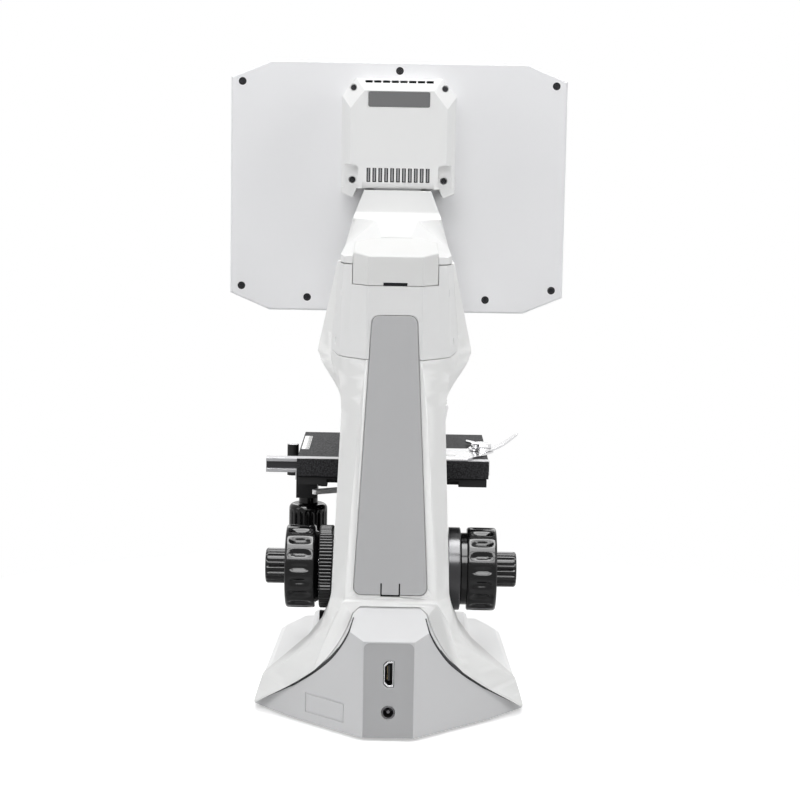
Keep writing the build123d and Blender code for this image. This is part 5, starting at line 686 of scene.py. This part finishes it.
# ---- Case screws ----
# Seven blackened screws close the case from its back, and four longer ones hold the electronics
# box, deep in wells at its corners.
hump_spots = [(side * 29.5, z) for side in (1, -1) for z in (378.8, 320.0)]
case_screw_spots = [(at(x, -46.6, z), (0, 1, 0)) for x, z in case_spots]
case_screw_spots += [(at(x, -24.0, z), (0, 1, 0)) for x, z in hump_spots]
screw_set("case_screws", "screen", "lcd_case_screws", "screw_black", screw_black, case_screw_spots,
          1.8, 1.2, 1.2, 12.0)


# ---- Electronics box ----
# A white moulding on the back of the case holds the camera's electronics and the hinge. Slots in
# its face and its top let the warmth out, and a blank grey plate is bonded into a recess above.
# The walls of the face slots and of the two lower screw wells are painted black, and black blocks
# stand behind the slots: painted shade.
# The slot walls and the lower well walls, painted black as painted shade.
def in_dark_hollow(centre, normal):
    slot = abs(centre.x) < 20.5 and 318.9 < centre.z < 327.7 and centre.y > -60.0 and abs(normal.y) < 0.5
    low_wells = [(x, z) for x, z in hump_spots if z < 350]
    well = any(math.hypot(centre.x - x, centre.z - z) < 2.5 for x, z in low_wells) and centre.y < -53.5
    return slot or (well and abs(normal.y) < 0.3)


broken_edges("lcd_hump_cover", "screen", "electronics_box", 0.25, cover_white, "white_plastic",
             inset=painted_well_shade, where=in_dark_hollow, whole=False)
blade_grey = painted("blade_grey", (0.42, 0.42, 0.43), 1800.0, 0.00001, 0.45, 0.6, shine=0.3)
# The black blocks behind the slots are painted shade.
for name, skin, count, start, pitch, block in (
        ("face_vent_shade_blocks", painted_shade_black, 11, (-19.0, -17.4, 323.3), 3.8, (3.7, 0.3, 10.4)),
        ("face_vent_blades", blade_grey, 11, (-19.0, -16.6, 323.5), 3.8, (1.1, 0.8, 8.2)),
        ("top_vent_shade_blocks", painted_shade_black, 8, (-19.6, -27.2, 380.9), 5.6, (5.5, 1.6, 4.4))):
    block_row(name, "screen", "dark_plastic", skin, count, start, (pitch, 0, 0), block)


def slab(name, body, slot, skin, outline, low, high, edge, axis="z"):
    """A flat piece cut to an outline, with its edges broken; millimetres about the optical axis."""
    work = bmesh.new()
    places = {"z": lambda u, v, w: at(u, v, w), "y": lambda u, v, w: at(u, w, v)}[axis]
    floor = [work.verts.new(places(u, v, low)) for u, v in outline]
    face = work.faces.new(floor)
    top = bmesh.ops.extrude_face_region(work, geom=[face])
    lifted = [item for item in top["geom"] if isinstance(item, bmesh.types.BMVert)]
    bmesh.ops.translate(work, verts=lifted, vec=places(0, 0, high) - places(0, 0, low))
    bmesh.ops.recalc_face_normals(work, faces=work.faces)
    for side in work.faces:
        side.smooth = True
    shape = stand_up(name, mesh_of(work, name, skin))
    soften(shape, edge)
    return finish_piece(shape, body, slot)


def corner(r, z, radius, quadrant, steps=4):
    """Points of a round corner about a centre; quadrant 0 goes from facing out to facing up."""
    angles = [math.radians(90 * (quadrant + step / steps)) for step in range(steps + 1)]
    return [(r + radius * math.cos(angle), z + radius * math.sin(angle)) for angle in angles]


def round_rectangle(x0, x1, y0, y1, radius):
    """Corner points of a rectangle with round corners."""
    centres = ((x1 - radius, y1 - radius), (x0 + radius, y1 - radius), (x0 + radius, y0 + radius),
               (x1 - radius, y0 + radius))
    return [point for quadrant, (x, y) in enumerate(centres) for point in corner(x, y, radius, quadrant, 5)]


for side, ear_name in ((1, "box_ear_right"), (-1, "box_ear_left")):
    ear = [(side * x, z) for x, z in ((36.7, 315.4), (36.7, 311.6), (29.0, 308.6), (26.2, 315.4))]
    slab(ear_name, "screen", "white_plastic", cover_white, ear, -44.8, -20.6, 0.5, axis="y")
plate_grey = painted("plate_grey", (0.14, 0.14, 0.142), 2200.0, 0.000006, 0.5, 0.62, shine=0.2)
slab("blank_plate", "screen", "aluminium", plate_grey, round_rectangle(-19.7, 19.7, 366.7, 376.3, 1.0),
     -15.5, -15.12, 0.1, axis="y")


# ---- Screen hinge ----
# A pressed bracket inside the neck carries the pin; the leaf on the case turns about it, and
# friction holds the screen where it is set.
hinge_steel = machined("hinge_steel", (0.5, 0.5, 0.51), 0.28, 0.42, (2400.0, 200.0, 200.0))
broken_edges("hinge_bracket", "stand", "neck_bracket", 0.2, hinge_steel, "steel")
broken_edges("hinge_leaf", "screen", "case_leaf", 0.2, hinge_steel, "steel")


# ---- Nosepiece ----
# A fixed disc under the head carries the revolving turret on its axle. The turret is black
# anodised, knurled round its rim, and each of its four threads holds an objective.
mount_black = painted("mount_black", (0.014, 0.014, 0.015), 1600.0, 0.000008, 0.32, 0.45)
turret_black = machined("turret_black", (0.02, 0.02, 0.022), 0.24, 0.38, (600.0, 600.0, 2600.0), metallic=0.5)
broken_edges("nosepiece_mount", "stand", "nosepiece_disc", 0.4, mount_black, "black_metal")
broken_edges("nosepiece_turret", "nosepiece", "turret", 0.2, turret_black, "black_anodised")


# ---- Objectives ----
# Four chromed barrels of growing length, each with a milled grip under its collar, a sunk colour
# ring by its power, a tapered nose and a small front lens. Like the knobs they come off a lathe:
# a profile goes round an axis, and the flutes of a grip are then milled along it.
def lathe(name, skin, profile, count, step=None, closed=False):
    """Turn a profile of (radius, height) in millimetres about the z axis."""
    fine = []
    pairs = list(zip(profile, profile[1:] + profile[:1])) if closed else list(zip(profile, profile[1:]))
    for (r0, z0), (r1, z1) in pairs:
        parts = max(1, int(math.hypot(r1 - r0, z1 - z0) / step + 0.5)) if step else 1
        fine += [(r0 + (r1 - r0) * k / parts, z0 + (z1 - z0) * k / parts) for k in range(parts)]
    if not closed:
        fine.append(profile[-1])
    work = bmesh.new()
    rings = []
    for r, z in fine:
        angles = [2 * math.pi * k / count for k in range(count)] if r > 1e-6 else [0.0]
        rings.append([work.verts.new((r * math.cos(angle) / 1000.0, r * math.sin(angle) / 1000.0, z / 1000.0))
                      for angle in angles])
    for low, high in zip(rings, rings[1:] + (rings[:1] if closed else [])):
        for k in range(count):
            ends = ((low, k), (low, k + 1), (high, k + 1), (high, k))
            loop = list(dict.fromkeys(ring[place % len(ring)] for ring, place in ends))
            if len(loop) > 2:
                work.faces.new(loop)
    bmesh.ops.recalc_face_normals(work, faces=work.faces)
    return mesh_of(work, name, skin)


# Flutes milled along a turned piece about its z axis.
flutes, given = start_tree("flutes", Flutes="Float", Radius="Float", Half_Width="Float", Depth="Float",
                           Start="Float", End="Float", Land="Float")


def mill(operation, first, second=0.0):
    """One step of arithmetic in the tree of the flutes."""
    return reckon(flutes, operation, first, second)


place = add_node(flutes, "GeometryNodeInputPosition").outputs[0]
spot = add_node(flutes, "ShaderNodeSeparateXYZ", Vector=place).outputs
square_x, square_y = (mill("MULTIPLY", spot[axis], spot[axis]) for axis in "XY")
radius = mill("SQRT", mill("ADD", square_x, square_y))
angle = mill("ARCTAN2", spot["Y"], spot["X"])
turns = mill("MULTIPLY", mill("DIVIDE", angle, 2 * math.pi), given["Flutes"])
stray = mill("SUBTRACT", turns, mill("ROUND", turns))
pitch_arc = mill("DIVIDE", mill("MULTIPLY", given["Radius"], 2 * math.pi), given["Flutes"])
arc = mill("MULTIPLY", mill("ABSOLUTE", stray), pitch_arc)
share = mill("MINIMUM", mill("DIVIDE", arc, given["Half Width"]), 1.0)
hollow = mill("MULTIPLY", mill("ADD", mill("COSINE", mill("MULTIPLY", share, math.pi)), 1.0), 0.5)
eased = {"interpolation_type": "SMOOTHSTEP"}
opening = ramp(flutes, spot["Z"], given["Start"], mill("ADD", given["Start"], given["Land"]), eased)
closing = ramp(flutes, spot["Z"], given["End"], mill("SUBTRACT", given["End"], given["Land"]), eased)
rim = ramp(flutes, radius, mill("MULTIPLY", given["Radius"], 0.9), mill("MULTIPLY", given["Radius"], 0.985))
bite = mill("MULTIPLY", mill("MULTIPLY", hollow, given["Depth"]),
            mill("MULTIPLY", rim, mill("MULTIPLY", opening, closing)))
shrink = mill("SUBTRACT", 1.0, mill("DIVIDE", bite, mill("MAXIMUM", radius, 0.0001)))
moved = add_node(flutes, "ShaderNodeCombineXYZ", X=mill("MULTIPLY", spot["X"], shrink),
                 Y=mill("MULTIPLY", spot["Y"], shrink), Z=spot["Z"]).outputs[0]
milled = add_node(flutes, "GeometryNodeSetPosition", Geometry=given["Geometry"], Position=moved).outputs[0]
end_tree(flutes, given, milled)


def join_pieces(name, shapes):
    """Several bits of one piece as one mesh."""
    work = bmesh.new()
    skins = []
    for shape in shapes:
        before = len(work.faces)
        work.from_mesh(shape.data)
        work.faces.ensure_lookup_table()
        table = []
        for skin in shape.data.materials:
            if skin not in skins:
                skins.append(skin)
            table.append(skins.index(skin))
        for face in work.faces[before:]:
            face.material_index = table[min(face.material_index, len(table) - 1)] if table else 0
    for shape in shapes:
        bpy.data.objects.remove(shape)
    return stand_up(name, mesh_of(work, name, *skins))


def crisp(shape):
    """Smooth shading with a crease wherever the faces turn by more than an angle."""
    work = bmesh.new()
    work.from_mesh(shape.data)
    limit = math.radians(32.0)
    for face in work.faces:
        face.smooth = True
    for edge in work.edges:
        edge.smooth = len(edge.link_faces) != 2 or edge.calc_face_angle(0.0) < limit
    work.to_mesh(shape.data)
    work.free()
    return shape


along_x = Matrix.Rotation(math.radians(90.0), 4, "Y")
against_x = Matrix.Rotation(math.radians(-90.0), 4, "Y")
grip_sizes = ("Radius", "Half Width", "Depth", "Start", "End", "Land")


def turned(name, skin, profile, count, where, step=None, closed=False, grip=None):
    """A turned bit put in its place; a grip is a number of flutes and the sizes that they have."""
    mesh = lathe(name, skin, profile, count, step, closed)
    if grip:
        sizes = in_metres(dict(zip(grip_sizes, grip[1:])))
        shape = grow(name, mesh, flutes, {**sizes, "Flutes": float(grip[0]), "Skin": skin})
    else:
        shape = stand_up(name, mesh)
    shape.data.transform(where)
    return crisp(shape)


def control(name, body, node, *bits):
    """A knob, a dial or a ring, made up of its turned bits."""
    return finish_piece(join_pieces(name, bits), body, "black_knob", node)


barrel_chrome = machined("barrel_chrome", (0.72, 0.72, 0.73), 0.1, 0.2, (200.0, 200.0, 2600.0), 0.0000015)
lens_glass = glazed("lens_glass", (0.86, 0.9, 0.95), 0.01, 0.03, 1.0)
tilt = math.radians(12.0)
thread_reach = 19.5
shoulder_z = 199.0
turret_middle = at(0.0, thread_reach * math.cos(tilt), shoulder_z + thread_reach * math.sin(tilt))
turret_place = Matrix.Translation(turret_middle) @ Matrix.Rotation(tilt, 4, "X")
thread_place = Matrix.Translation((0, -thread_reach / 1000.0, 0))
collar_grip = (60, 11.0, 0.5, 0.35, -4.6, -0.6, 0.5)
# Length under the shoulder, half width of the tip and colour of the ring, by power.
objectives = {"4x": (27.0, 6.0, (0.62, 0.08, 0.05)), "10x": (36.0, 4.6, (0.75, 0.6, 0.06)),
              "40x": (43.5, 3.4, (0.1, 0.3, 0.62)), "100x": (43.8, 2.6, (0.75, 0.75, 0.74))}
for place, (power, (length, tip, ring_colour)) in enumerate(objectives.items()):
    quarter = Matrix.Rotation(math.radians(90.0 * place), 4, "Z")
    seat = turret_place @ quarter @ thread_place @ Matrix.Rotation(-tilt, 4, "X")
    cone = length - 0.38 * length
    band_top = -cone + 4.0
    band_foot = band_top - 2.4
    ring_skin = painted("ring_" + power, ring_colour, 900.0, 0.000004, 0.3, 0.4)
    collar = [(0, 4.5), (9.7, 4.5), (10.1, 4.1), (10.1, 0), (10.6, 0), (11.0, -0.4), (11.0, -4.8),
              (10.6, -5.2), (9.6, -6.0), (9.6, band_top), (9.3, band_top), (0, band_top)]
    band = [(0, band_top), (9.25, band_top), (9.25, band_foot), (0, band_foot)]
    nose = [(0, band_foot), (9.3, band_foot), (9.6, band_top - 2.7), (9.6, -cone), (tip + 1.4, 3 - length),
            (tip, 0.4 - length), (tip - 0.3, -length), (tip * 0.6, -length), (tip * 0.6 - 0.2, 1.2 - length),
            (0, 1.2 - length)]
    lens = [(0, 1.15 - length), (tip * 0.58, 1.15 - length), (tip * 0.58, 0.9 - length),
            (tip * 0.3, 0.55 - length), (0, 0.4 - length)]
    bits = [turned("upper", barrel_chrome, collar, 180, seat, 1.2, grip=collar_grip),
            turned("band", ring_skin, band, 96, seat), turned("lower", barrel_chrome, nose, 96, seat),
            turned("front", lens_glass, lens, 48, seat)]
    finish_piece(join_pieces("objective_barrel_" + power, bits), "nosepiece", "chrome", "objective_" + power)


# ---- Camera and tube lens ----
# Inside the head, a black cell holds the lens that forms the picture on the camera's chip.
broken_edges("tube_lens_cell", "stand", "tube_cell", 0.2, mount_black, "black_anodised")
broken_edges("tube_lens", "stand", "tube_glass", 0.1, lens_glass, "glass")
broken_edges("camera_board", "stand", "camera_circuit", 0.12, board_green, "board_green")


# ---- Lamp house ----
# A black turned housing on the dais holds the collector lens over a white emitter on its board.
# A dial on the side of the drive box sets the brightness.
housing_black = painted("housing_black", (0.016, 0.016, 0.017), 1100.0, 0.00001, 0.34, 0.5)
broken_edges("collector_housing", "stand", "lamp_house", 0.4, housing_black, "black_metal")
broken_edges("collector_lens", "stand", "lamp_glass", 0.15, lens_glass, "glass")
phosphor = painted("phosphor", (0.85, 0.72, 0.25), 900.0, 0.000005, 0.4, 0.5)
board_white = painted("board_white", (0.75, 0.75, 0.74), 900.0, 0.000006, 0.35, 0.45)
broken_edges("led_module", "stand", "emitter_board", 0.15, board_white, "aluminium", inset=phosphor,
             where=lambda centre, normal: centre.z > 29.0)
knob_black = painted("knob_black", (0.003, 0.003, 0.0034), 1400.0, 0.000002, 0.09, 0.15, shine=0.24)
dial_place = Matrix.Translation(at(0, 58.0, 50.0)) @ along_x
dial_profile = [(0, 29.8), (1.9, 29.8), (1.9, 34.1), (4.3, 34.1)] + corner(4.1, 43.5, 0.6, 0)[:1]
dial_profile += corner(4.1, 43.5, 0.6, 0) + [(0, 44.1)]
dial_grip = (24, 4.7, 0.42, 0.4, 33.9, 44.4, 0.4)
control("brightness_dial", "dimmer", "dimmer_knob",
        turned("dial", knob_black, dial_profile, 192, dial_place, 0.8, grip=dial_grip))


# ---- Focus drive ----
# One axis through the drive box carries everything: on each side a fixed-boss ring, a coarse knob
# with wide scallops, and a slim fine knob on the shaft inside. The ring on the right is toothed
# and sets the stiffness; the one on the left is plain and limits the travel.
drive_right = Matrix.Translation(at(0, 75.0, 86.6)) @ along_x
drive_left = Matrix.Translation(at(0, 75.0, 86.6)) @ against_x
ring_profile = [(19.0, 35.0), (24.7, 35.0), (25.3, 35.6), (25.3, 42.9), (24.7, 43.5), (19.0, 43.5)]
ring_grip = (72, 25.3, 0.8, 0.75, 34.6, 43.9, 0.5)
control("tension_ring_grip", "tension", "tension_ring",
        turned("ring", knob_black, ring_profile, 576, drive_right, 1.0, True, ring_grip))
plain_profile = [(19.0, 35.0), (25.3, 35.0)] + corner(24.3, 41.2, 1.0, 0) + [(19.0, 42.2)]
ring_satin = machined("ring_satin", (0.03, 0.03, 0.032), 0.16, 0.26, (2600.0, 300.0, 300.0), metallic=0.4)
control("limit_ring_plain", "limit", "limit_ring",
        turned("ring", ring_satin, plain_profile, 160, drive_left, closed=True))

coarse_profile = [(22.0, 46.0), (23.6, 46.0)] + corner(23.9, 47.4, 1.4, -1) + corner(23.6, 62.3, 1.7, 0)
coarse_profile += [(12.3, 64.0), (11.7, 63.4), (11.7, 60.0), (6.5, 60.0)]
coarse_bosses = ((drive_right, [(6.5, 43.8), (20.6, 43.8), (21.0, 44.2)]),
                 (drive_left, [(6.5, 42.4), (21.6, 42.4), (22.0, 42.8)]))
coarse_grip = (18, 25.3, 3.3, 1.6, 46.6, 63.4, 6.6)
control("coarse_focus_knobs", "coarse", "coarse_knobs",
        *[turned("half", knob_black, boss + coarse_profile, 288, way, 0.9, True, coarse_grip)
          for way, boss in coarse_bosses])
fine_profile = [(0, 73.5), (3.0, 73.5), (3.0, 61.5), (10.1, 61.5), (10.7, 62.1)] + corner(9.1, 74.9, 1.6, 0)
fine_profile += [(0, 76.5)]
fine_grip = (18, 10.7, 1.15, 0.9, 61.0, 76.2, 1.6)
control("fine_focus_knobs", "fine", "fine_knobs",
        *[turned("half", knob_black, fine_profile, 216, way, 0.8, grip=fine_grip)
          for way in (drive_right, drive_left)])

shaft_steel = machined("shaft_steel", (0.55, 0.55, 0.56), 0.16, 0.28, (2600.0, 260.0, 260.0))
bush_brass = machined("bush_brass", (0.68, 0.5, 0.22), 0.2, 0.32, (2400.0, 260.0, 260.0))
broken_edges("coarse_shaft", "coarse", "coarse_spindle", 0.1, shaft_steel, "steel")
broken_edges("fine_shaft", "fine", "fine_spindle", 0.1, shaft_steel, "steel")
broken_edges("shaft_bushings", "stand", "spindle_bushes", 0.15, bush_brass, "brass")
broken_edges("focus_guide", "stand", "guide_rails", 0.15, shaft_steel, "steel")
broken_edges("focus_carriage", "carriage", "slide_block", 0.3, housing_black, "black_metal")
broken_edges("focus_rack", "carriage", "drive_rack", 0.08, bush_brass, "brass")


# ---- Stage ----
# A bracket hangs the stage on the focus slide. On it runs the top plate, a die casting in black
# wrinkle paint, with the drive block of the two stage knobs at its right.
stage_wrinkle = wrinkled("stage_wrinkle", (0.010, 0.010, 0.011), 1150.0, 0.00008, 0.62, 0.8,
                         (0.034, 0.034, 0.037))
stage_satin = painted("stage_satin", (0.008, 0.008, 0.0085), 1300.0, 0.00001, 0.45, 0.6, shine=0.2)
broken_edges("stage_bracket", "stage_base", "stage_arm", 0.4, stage_satin, "black_metal")
broken_edges("stage_top_plate", "stage_plate", "stage_table", 0.4, stage_wrinkle, "black_metal")
post_steel = machined("post_steel", (0.5, 0.5, 0.51), 0.2, 0.34, (900.0, 900.0, 900.0))


def on_post(centre, normal):
    return centre.z > 148.0 and normal.z > 0.9 and math.hypot(centre.x - 65.0, centre.y + 42.5) < 4.0


broken_edges("stage_drive_block", "stage_plate", "drive_block", 0.35, stage_satin, "black_metal",
             inset=post_steel, where=on_post)

# The front-to-back scale: a white strip with a black ladder on its inner side.
scale_white = painted("scale_white", (0.82, 0.82, 0.81), 900.0, 0.000004, 0.35, 0.45)
scale_black = painted("scale_black", (0.01, 0.01, 0.01), 900.0, 0.000004, 0.4, 0.5)
slab("depth_scale", "stage_plate", "white_plastic", scale_white,
     round_rectangle(53.7, 58.6, -37.0, 17.0, 0.5), 149.5, 149.62, 0.03)
block_row("depth_scale_ticks", "stage_plate", "black_metal", scale_black, 27, (55.1, -36.0, 149.64),
          (0, 2.0, 0), (1.5, 0.6, 0.06), every=5.0, longer=(1.7, 1.3, 1.0))
slab("depth_scale_edge", "stage_plate", "black_metal", scale_black,
     round_rectangle(54.0, 54.35, -36.6, 16.6, 0.1), 149.6, 149.66, 0.01)


# ---- Cross rail and slide holder ----
# A ground steel rail slides through the rear of the stage and carries the slide holder, a
# polished plate with a fixed jaw and a sprung finger. The rail's grooves are painted dark, a painted
# reflection.
rail_steel = machined("rail_steel", (0.36, 0.36, 0.37), 0.4, 0.55, (120.0, 2600.0, 2600.0), metallic=0.3)
groove_painted_reflection = machined("groove_painted_reflection", (0.03, 0.03, 0.032), 0.3, 0.45, (120.0, 2600.0, 2600.0), metallic=0.8)


def in_rail_groove(centre, normal):
    return 142.7 < centre.z < 147.3 and abs(normal.x) < 0.5


broken_edges("x_rail", "x_carriage", "cross_rail", 0.3, rail_steel, "steel", inset=groove_painted_reflection,
             where=in_rail_groove)
holder_chrome = machined("holder_chrome", (0.75, 0.75, 0.76), 0.08, 0.18, (400.0, 2600.0, 400.0), 0.0000015)
broken_edges("slide_holder", "x_carriage", "slide_holder_plate", 0.2, holder_chrome, "chrome")
broken_edges("holder_finger", "finger", "sprung_finger", 0.25, holder_chrome, "chrome")
slab("cross_scale", "x_carriage", "white_plastic", scale_white,
     round_rectangle(-40.0, 20.0, 38.5, 43.0, 0.5), 151.0, 151.12, 0.03)
block_row("cross_scale_ticks", "x_carriage", "black_metal", scale_black, 59, (-38.5, 41.2, 151.14),
          (1.0, 0, 0), (0.28, 1.4, 0.06), every=10.0, longer=(1.3, 1.8, 1.0))


# ---- Stage knobs ----
# Two knobs hang on one axis under the drive block: the upper one moves the stage to and fro by
# its pinion, and the lower one, on the shaft inside, moves the slide across by a pulley.
knob_axis = Matrix.Translation(at(54.5, 0.0, 0.0))
y_profile = [(2.55, 89.0), (11.0, 89.0)] + corner(11.65, 89.7, 0.7, -1) + corner(9.15, 108.3, 3.2, 0, 6)
y_profile += [(6.6, 111.5), (6.1, 112.0), (6.1, 115.8), (5.7, 116.2), (4.5, 116.2), (4.5, 127.0),
              (2.55, 127.0)]
pinion_profile = [(2.55, 127.0), (8.7, 127.0), (8.7, 132.5), (2.55, 132.5)]
y_grip = (20, 12.35, 1.2, 0.9, 88.8, 108.6, 2.6)
pinion_grip = (16, 8.7, 1.3, 1.4, 126.5, 133.0, 0.2)
control("to_and_fro_knob", "y_knob", "y_drive_knob",
        turned("knob", knob_black, y_profile, 240, knob_axis, 0.9, True, y_grip),
        turned("pinion", shaft_steel, pinion_profile, 256, knob_axis, 0.9, True, pinion_grip))
x_profile = [(0, 68.0), (8.3, 68.0)] + corner(8.4, 69.6, 1.6, -1) + corner(9.4, 88.1, 0.6, 0) + [(2.5, 88.7)]
x_profile += [(2.5, 133.8), (5.0, 133.8), (5.0, 134.8), (4.0, 134.8), (4.0, 135.8), (5.0, 135.8),
              (5.0, 136.8), (0, 136.8)]
x_grip = (20, 10.0, 0.9, 0.7, 68.0, 88.9, 1.5)
control("cross_knob", "x_knob", "x_drive_knob",
        turned("knob", knob_black, x_profile, 240, knob_axis, 0.9, grip=x_grip))


# ---- Condenser ----
# The condenser sits in a ring that a small rack and pinion lifts. A chromed lever turns the leaves
# of its iris, and its top lens stands just under the slide.
broken_edges("condenser_carrier", "condenser_unit", "condenser_ring", 0.3, stage_satin, "black_metal")
barrel_black = machined("barrel_black", (0.02, 0.02, 0.021), 0.24, 0.38, (260.0, 260.0, 2600.0), metallic=0.5)
broken_edges("condenser", "condenser_unit", "condenser_barrel", 0.3, barrel_black, "black_anodised")
broken_edges("condenser_lens", "condenser_unit", "condenser_glass", 0.3, lens_glass, "glass")
lever_bright = machined("lever_bright", (0.86, 0.86, 0.86), 0.25, 0.4, (300.0, 300.0, 2000.0), metallic=0.35)
iris_arm = broken_edges("iris_lever", "iris", "iris_arm", 0.3, lever_bright, "chrome")
# The bore of the arm's ring is opened a little, so that it turns clear of the barrel.
ring_reach, clearance = 0.0165, 0.0003
for vertex in iris_arm.data.vertices:
    spoke = vertex.co.xy - at(0, 0, 0).xy
    if spoke.length < ring_reach:
        vertex.co.xy += spoke.normalized() * clearance
pinion_axis = Matrix.Translation(at(0, 25.0, 118.0)) @ against_x
lift_profile = [(0, 17.0), (2.5, 17.0), (2.5, 24.3), (7.5, 24.3), (8.0, 24.8)] + corner(6.8, 31.3, 1.2, 0)
lift_profile += [(0, 32.5)]
teeth_profile = [(0, 13.0), (5.7, 13.0), (5.7, 18.0), (0, 18.0)]
lift_grip = (20, 8.0, 0.8, 0.6, 24.0, 32.4, 0.8)
teeth_grip = (10, 5.7, 1.2, 1.3, 12.5, 18.5, 0.2)
control("condenser_lift_knob", "condenser_drive", "condenser_knob",
        turned("knob", knob_black, lift_profile, 240, pinion_axis, 0.7, grip=lift_grip),
        turned("teeth", bush_brass, teeth_profile, 160, pinion_axis, 0.7, grip=teeth_grip))
